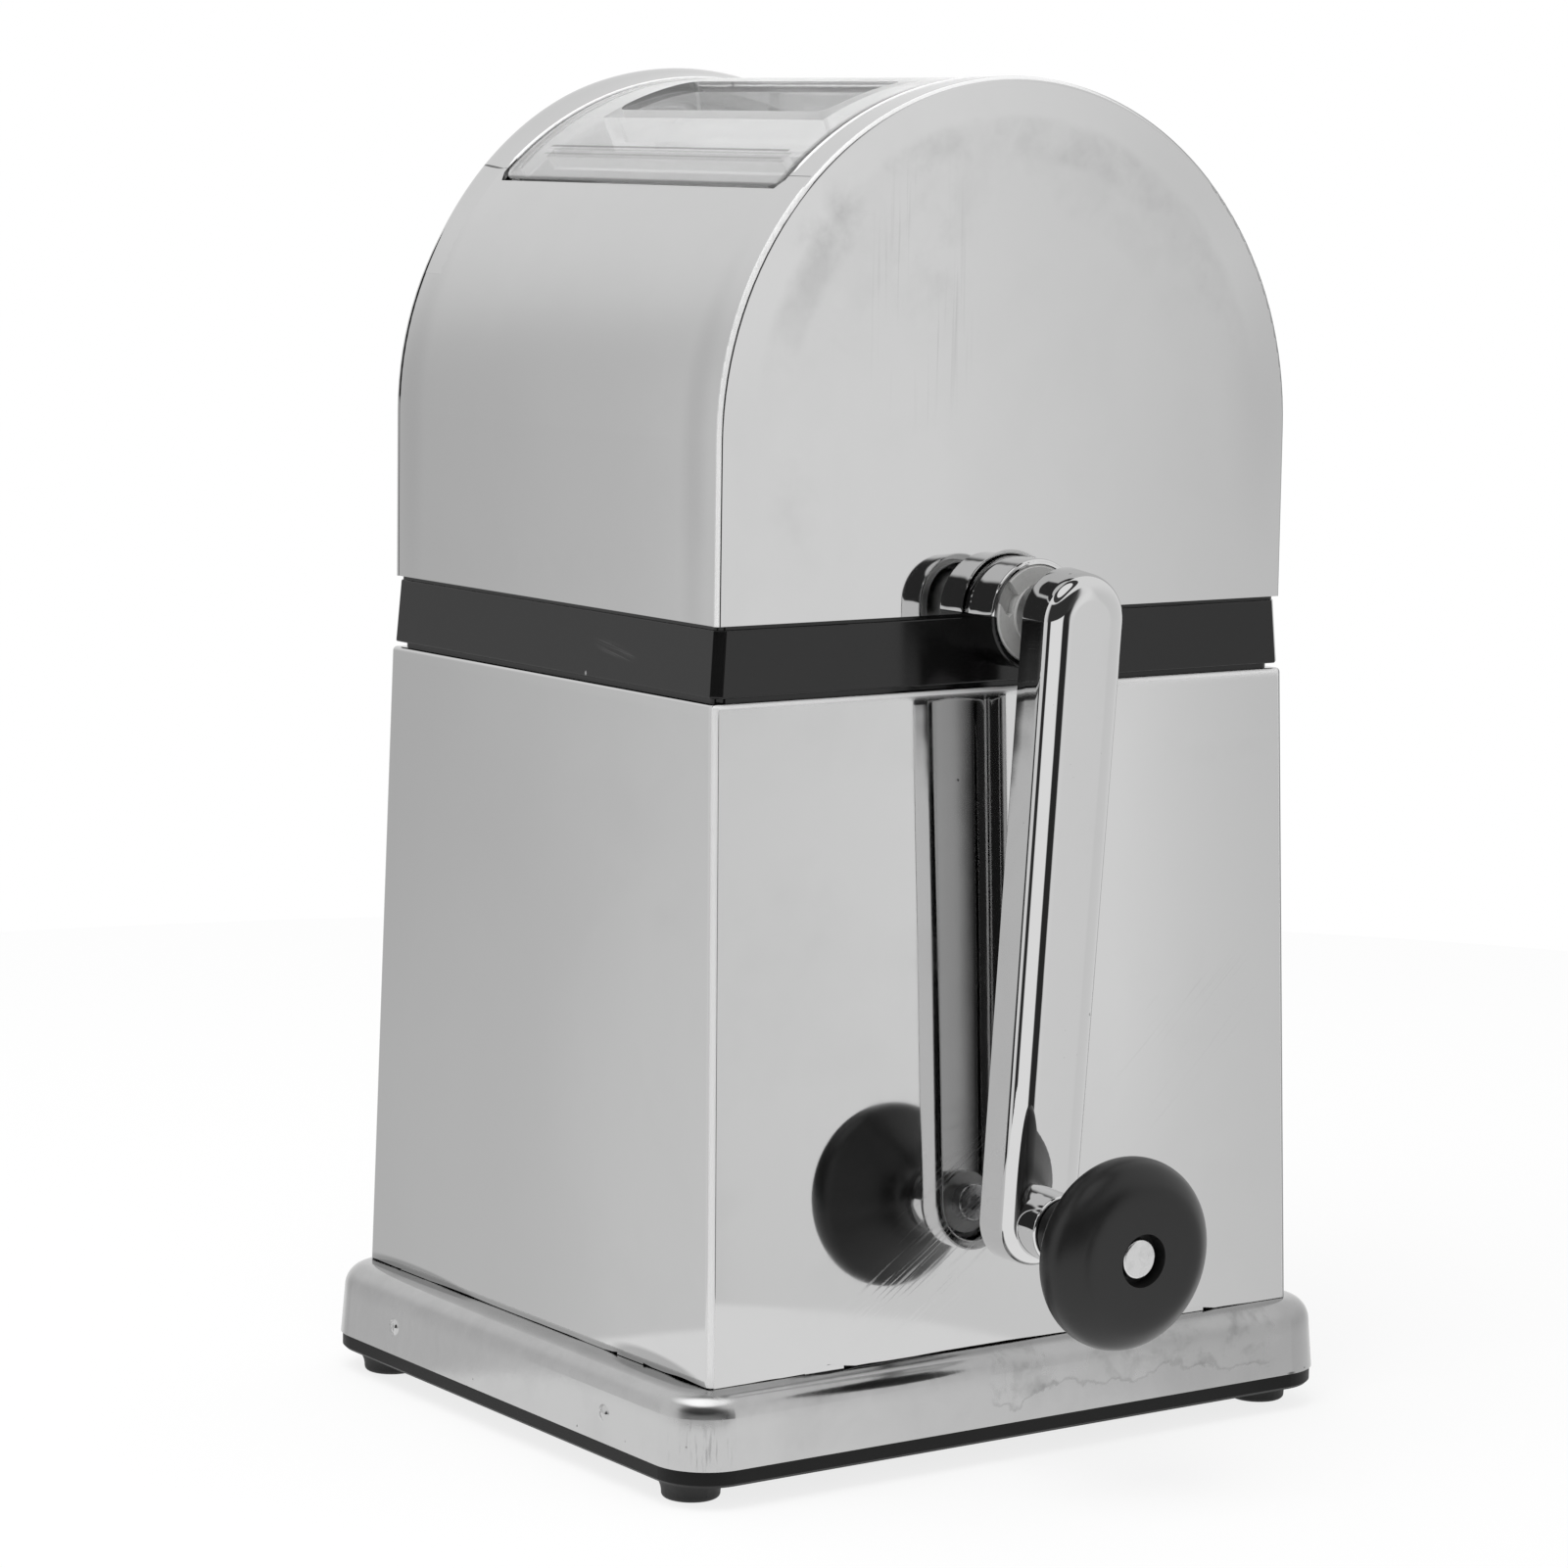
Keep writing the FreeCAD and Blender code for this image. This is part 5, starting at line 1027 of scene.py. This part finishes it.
def arm_axes():
    """Directions of the arm in millimetre space: along it, across it and out through its face."""
    down = Vector((-math.sin(ARM_LEAN), -math.sin(ARM_SWING) * math.cos(ARM_LEAN),
                   -math.cos(ARM_SWING) * math.cos(ARM_LEAN)))
    outward = Vector((1.0, 0.0, 0.0)) - down * down.x
    outward.normalize()
    return down, outward.cross(down), outward


ALONG_ARM, ACROSS_ARM, OUT_OF_ARM = arm_axes()


def on_arm(along, across, out):
    """A point of the arm, given in its own millimetres, as a place in the frame."""
    start = Vector((ARM_BACK, 0.0, CRANK_HEIGHT))
    return (start + ALONG_ARM * along + ACROSS_ARM * across + OUT_OF_ARM * out) * MM


def between(start, goal):
    """Points along a straight side of the arm, without its two ends."""
    shares = [step / STRAIGHT_POINTS for step in range(1, STRAIGHT_POINTS)]
    return [(start[0] + (goal[0] - start[0]) * share, start[1] + (goal[1] - start[1]) * share)
            for share in shares]


def arm_ring(inset, out):
    """Round-ended outline of the arm, drawn in by inset, at one height above its back."""
    head, end = ARM_HEAD - inset, ARM_END - inset
    slope = math.asin((head - end) / ARM_THROW)
    points = []
    for step in range(ROUND_POINTS + 1):
        angle = math.pi / 2 - slope + (math.pi + 2 * slope) * step / ROUND_POINTS
        points.append((head * math.cos(angle), head * math.sin(angle)))
    points += between(points[-1], (ARM_THROW + end * math.sin(slope), -end * math.cos(slope)))
    for step in range(ROUND_POINTS + 1):
        angle = -math.pi / 2 + slope + (math.pi - 2 * slope) * step / ROUND_POINTS
        points.append((ARM_THROW + end * math.cos(angle), end * math.sin(angle)))
    points += between(points[-1], points[0])
    return [on_arm(along, across + ARM_SIDESTEP, out) for along, across in points]


def crown_radius(angle):
    """Rolled front edge: tight at the side wall, opening into the nearly flat face."""
    return (CROWN_RADIUS + FACE_RADIUS * math.exp(-angle / FACE_FADE)
            + WALL_RADIUS * math.exp((angle - CROWN_START) / WALL_FADE))


def arm_profile():
    """(inset, out) pairs from the channel floor round the rim, up the side and over the crown."""
    profile = [(ARM_RIM + CHANNEL_ROUND * (1 - sine), CHANNEL_FLOOR - CHANNEL_ROUND * (1 - cosine))
               for sine, cosine in quarter(8)]
    profile.append((ARM_RIM_INSIDE, ARM_REAR + ARM_RIM_FOOT))
    profile += [(ARM_RIM_INSIDE - ARM_RIM_ROUND * (1 - cosine), ARM_REAR + ARM_RIM_ROUND * (1 - sine))
                for sine, cosine in quarter(4)]
    profile += [(ARM_RIM_ROUND * (1 - sine), ARM_REAR + ARM_RIM_ROUND * (1 - cosine))
                for sine, cosine in quarter(4)]
    profile.append((ARM_DRAFT / 2, (ARM_REAR + ARM_WALL_TOP) / 2))
    inset, out = ARM_DRAFT, ARM_WALL_TOP
    profile.append((inset, out))
    angle = CROWN_START
    while angle > 0.01:
        lower = max(0.0, angle - (CROWN_STEP if angle > CROWN_FINE_FROM else CROWN_FINE_STEP))
        radius = crown_radius((angle + lower) / 2)
        inset += radius * (math.sin(math.radians(angle)) - math.sin(math.radians(lower)))
        out += radius * (math.cos(math.radians(lower)) - math.cos(math.radians(angle)))
        profile.append((inset, out))
        angle = lower
    return profile


BAR_POINTS = 48


def round_bar(place, radius, low, high):
    """Closed shell of a short round bar: place gives a point from (x, y, height)."""
    turns = [math.tau * step / BAR_POINTS for step in range(BAR_POINTS)]
    return skin_rings([[place(radius * math.cos(turn), radius * math.sin(turn), height) for turn in turns]
                       for height in (low, high)])


def make_crank_arm():
    """Chromed casting with a crowned front, hollow from behind, with its posts, bores and hub."""
    casting = skin_rings([arm_ring(inset, out) for inset, out in arm_profile()])
    arm = new_piece("crank_arm_casting", "crank", "chromed_zinc", *casting, ARM_CHROME)
    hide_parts("crank_arm")

    def at_end(x, y, height):
        return on_arm(ARM_THROW + x, y, height)

    def at_hub(x, y, height):
        return Vector((height, x, CRANK_HEIGHT + y)) * MM

    def at_screw(x, y, height):
        return Vector((SET_SCREW_PLACE + x, height, CRANK_HEIGHT + y)) * MM

    posts = gather([round_bar(on_arm, HEAD_POST, 0.0, POST_TOP),
                    round_bar(at_end, END_POST, END_POST_FOOT, POST_TOP),
                    round_bar(at_end, SEAT_RADIUS, SEAT_FOOT, SEAT_TOP)])
    new_piece("crank_arm_posts", "crank", "chromed_zinc", *posts, CAST_SATIN)
    bar = round_bar(at_hub, HUB_RADIUS, BOSS_FACE + HUB_GAP, ARM_BACK + HUB_OVERLAP)
    hub = new_piece("crank_arm_hub", "crank", "chromed_zinc", *bar, CAST_SATIN)
    cut_away(hub, *round_bar(at_screw, SCREW_HOLE, DRIVE_HALF, HUB_RADIUS + 1.0))


# ---------------------------------------------------------------- lower housing

HOUSING_FOOT, HOUSING_TOP = 22.0, 149.6
FOOT_HALF = (62.8, 70.35)
TOP_HALF = (58.45, 68.35)
HOUSING_CORNER, SHARPEST_CORNER = 1.3, 0.25
HOUSING_WALL = 1.0
TOP_ROLL = 0.9
TOP_LIP, LIP_SHEET, LIP_ROOT = 4.0, 1.0, 0.2
FOOT_BEVEL_IN, FOOT_BEVEL_UP = 0.12, 0.10
SIDE_POINTS, CORNER_POINTS = 56, 7
# The wall's rings above its foot; the foot's waviness has died away EDGE_FADE above EDGE_LINE.
WALL_RINGS = (23.2, 24.5, 27.0, 32.0, 40.0, 60.0, 85.0, 110.0, 130.0, 142.0, 147.0)
INNER_RINGS = (140.0, 30.0)
EDGE_LINE, EDGE_FADE = 22.1, 4.0
# Each side and the way it faces, in the order that a ring goes round them.
SIDES = (("crank", 1, 0), ("rear", 0, 1), ("plain", -1, 0), ("front", 0, -1))
TAB_WIDTH, TAB_DROP, TAB_POINT = 9.0, 3.4, 0.8
TAB_TOP, TAB_INSET = 1.2, 0.02
TAB_PLACES = {"front": (-45.5, 36.0), "rear": (-45.5, 36.0), "crank": (-44.0, 44.0), "plain": (-44.0, 44.0)}
# Where the sheet's lower edge stands off the base: side, from, to, how far.
EDGE_GAPS = [("front", -51.0, -41.0, 0.75), ("front", 27.5, 43.5, 0.70), ("front", 46.0, 61.5, 0.25),
             ("crank", -48.0, -38.0, 1.10), ("crank", 41.0, 51.0, 0.95), ("crank", -30.0, 25.0, 0.25)]
WAVE_SHIFT = {"front": 3.1, "crank": 9.7, "rear": 17.3, "plain": 23.9}
WAVE_LENGTH, RIPPLE_LENGTH = 17.0, 6.0
RIPPLE_SHARE, HUMP_POWER = 0.4, 1.5
MEAN_LIFT, WAVE_LIFT, LEAST_LIFT = 0.10, 0.26, 0.03


def swell(place, start, end):
    """A smooth hump from start to end, 1 in its middle."""
    if not start < place < end:
        return 0.0
    return math.sin(math.pi * (place - start) / (end - start)) ** HUMP_POWER


def edge_lift(side, place):
    """How far the lower edge of the sheet stands above the base, in millimetres."""
    wave = noise.noise(Vector((place / WAVE_LENGTH, WAVE_SHIFT[side], 0.0)))
    wave += RIPPLE_SHARE * noise.noise(Vector((place / RIPPLE_LENGTH, WAVE_SHIFT[side], 4.0)))
    gaps = sum(height * swell(place, start, end) for name, start, end, height in EDGE_GAPS if name == side)
    return max(MEAN_LIFT + WAVE_LIFT * wave + gaps, LEAST_LIFT)


def housing_ring(height, inset, lifted=0.0):
    """One closed ring of the folded sheet; lifted is the share of the edge's own waviness."""
    share = (height - HOUSING_FOOT) / (HOUSING_TOP - HOUSING_FOOT)
    half_x, half_y = (foot + (top - foot) * share - inset for foot, top in zip(FOOT_HALF, TOP_HALF))
    bend = max(HOUSING_CORNER - inset, SHARPEST_CORNER)
    straight_x, straight_y = half_x - bend, half_y - bend
    ring = []

    def add_point(side, x, y):
        lift = edge_lift(side, y if side in ("crank", "plain") else x) * lifted if lifted else 0.0
        ring.append(Vector((x, y, height + lift)) * MM)

    for number, (side, out_x, out_y) in enumerate(SIDES):
        for step in range(SIDE_POINTS + 1):
            along = math.sin(math.pi / 2 * (2 * step / SIDE_POINTS - 1))
            add_point(side, half_x * out_x - straight_x * out_y * along,
                      half_y * out_y + straight_y * out_x * along)
        for step in range(1, CORNER_POINTS):
            turn = math.pi / 2 * (number + step / CORNER_POINTS)
            add_point(side, straight_x * (out_x - out_y) + bend * math.cos(turn),
                      straight_y * (out_y + out_x) + bend * math.sin(turn))
    return ring


def make_lower_housing():
    """Folded sheet sleeve with a rolled top, an inner lip, tabs and a slightly wavy lower edge."""
    rings = [housing_ring(HOUSING_FOOT, HOUSING_WALL, 1.0),
             housing_ring(HOUSING_FOOT, FOOT_BEVEL_IN, 1.0),
             housing_ring(HOUSING_FOOT + FOOT_BEVEL_UP, 0.0, 1.0)]
    rings += [housing_ring(height, 0.0, max(0.0, 1.0 - (height - EDGE_LINE) / EDGE_FADE))
              for height in WALL_RINGS]
    rings += [housing_ring(HOUSING_TOP - TOP_ROLL * (1 - sine), TOP_ROLL * (1 - cosine))
              for sine, cosine in quarter(6)]
    rings += [housing_ring(HOUSING_TOP, TOP_LIP), housing_ring(HOUSING_TOP - LIP_SHEET, TOP_LIP),
              housing_ring(HOUSING_TOP - LIP_SHEET, HOUSING_WALL + LIP_ROOT)]
    rings += [housing_ring(height, HOUSING_WALL) for height in INNER_RINGS]
    tabs = [housing_tab(out_x, out_y, place) for side, out_x, out_y in SIDES for place in TAB_PLACES[side]]
    sleeve = gather([skin_rings(rings, closed=True)] + tabs)
    housing = new_piece("lower_housing_sleeve", "base_unit", "polished_steel", *sleeve, HOUSING_STEEL)
    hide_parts("lower_housing")


def housing_tab(out_x, out_y, place):
    """A straight tab of the sheet that stands in its slot in the base."""
    half = FOOT_HALF[0] if out_x else FOOT_HALF[1]
    across = sorted((out_x + out_y) * (half - depth) for depth in (HOUSING_WALL, TAB_INSET))
    low, high = place - TAB_WIDTH / 2, place + TAB_WIDTH / 2
    rings = []
    for height, trim in ((HOUSING_FOOT + TAB_TOP, 0.0), (HOUSING_FOOT - TAB_DROP + TAB_POINT, 0.0),
                         (HOUSING_FOOT - TAB_DROP, TAB_POINT)):
        corners = [(across[0], low + trim), (across[1], low + trim),
                   (across[1], high - trim), (across[0], high - trim)]
        if out_y:
            corners = [(b, a) for a, b in corners]
        rings.append([Vector((x, y, height)) * MM for x, y in corners])
    return skin_rings(rings)


# ---------------------------------------------------------------- hems of the top frame

ARCH_RADIUS = 67.4
HEM_RADIUS, HEM_END_SHARE, HEM_FLATNESS = 0.55, 0.35, 0.75
HEM_SINK = 0.18
HEM_FROM, HEM_TO = 46.6, 111.0
HEM_STEPS, HEM_POINTS = 60, 14
RAIL_EDGE = 50.0


def arch_point(x, radius, degrees):
    """A place on the arch; degrees climb from the front towards the back."""
    angle = math.radians(degrees)
    return Vector((x, -radius * math.cos(angle), ARCH_CENTRE + radius * math.sin(angle))) * MM


def make_hem(name, x):
    """The folded edge of a side rail, standing a little above the sheet along the window."""
    rings = []
    for step in range(HEM_STEPS + 1):
        degrees = HEM_FROM + (HEM_TO - HEM_FROM) * step / HEM_STEPS
        fade = min(1.0, step / 2.0, (HEM_STEPS - step) / 2.0)
        radius = HEM_RADIUS * (HEM_END_SHARE + (1 - HEM_END_SHARE) * fade)
        turns = [math.tau * turn / HEM_POINTS for turn in range(HEM_POINTS)]
        rings.append([arch_point(x + radius * math.cos(turn),
                                 ARCH_RADIUS - HEM_SINK + radius * HEM_FLATNESS * math.sin(turn), degrees)
                      for turn in turns])
    # the hem wears the painted-highlight copy of the steel
    new_piece(name, "head", "polished_steel", *skin_rings(rings), HEM_HIGHLIGHT)


# ---------------------------------------------------------------- raised rim of the plain side

RIM_INNER, RIM_MIDDLE, RIM_OUTER = -50.6, -55.0, -58.0
RIM_LIFT = 1.9
RIM_SHEET, RIM_SKIRT = 0.9, -1.2
RIM_FROM, RIM_TO = 24.0, 150.0
RIM_STEPS = 84
# Degrees over which the lift comes in at the front and goes out at the back.
RIM_COMES, RIM_GOES = 48.0, 40.0
# The rim's section: place sideways, share of the lift, and height above the arch.
RIM_SECTION = [
    (RIM_INNER, 0.0, -0.01), (RIM_INNER - 2.2, 0.22, 0.02), (RIM_MIDDLE, 0.62, 0.03),
    (RIM_OUTER + 1.6, 0.92, 0.04), (RIM_OUTER + 0.7, 1.0, 0.03), (RIM_OUTER + 0.2, 1.0, -0.15),
    (RIM_OUTER, 1.0, -0.6), (RIM_OUTER, 0.0, RIM_SKIRT), (RIM_OUTER + RIM_SHEET, 0.0, RIM_SKIRT),
    (RIM_OUTER + RIM_SHEET, 0.5, -0.6), (RIM_MIDDLE, 0.4, -0.6), (RIM_INNER, 0.0, -0.5)]


def rim_lift(degrees):
    """How far the sheet's outer edge is pulled up: most over the top, nothing down the sides."""
    share = min(1.0, max(0.0, (degrees - RIM_FROM) / RIM_COMES), max(0.0, (RIM_TO - degrees) / RIM_GOES))
    return RIM_LIFT * share * share * (3 - 2 * share)


def make_plain_side_rim():
    """The plain side's folded edge stands a little proud of the arch, so the rail slopes up to it."""
    rings = []
    for step in range(RIM_STEPS + 1):
        degrees = RIM_FROM + (RIM_TO - RIM_FROM) * step / RIM_STEPS
        lift = rim_lift(degrees)
        rings.append([arch_point(x, ARCH_RADIUS + rise + lift * share, degrees)
                      for x, share, rise in RIM_SECTION])
    new_piece("plain_side_rim", "head", "polished_steel", *skin_rings(rings), RAIL_STEEL)


# ---------------------------------------------------------------- the whole scene

make_crank_arm()
make_lower_housing()
make_hem("rail_hem_crank_side", RAIL_EDGE)
make_hem("rail_hem_plain_side", -RAIL_EDGE)
make_plain_side_rim()

bpy.context.scene.view_settings.view_transform = "Standard"
place_camera()
light_the_studio()
lay_the_floor()
hang_the_softbox()
dress_nodes()
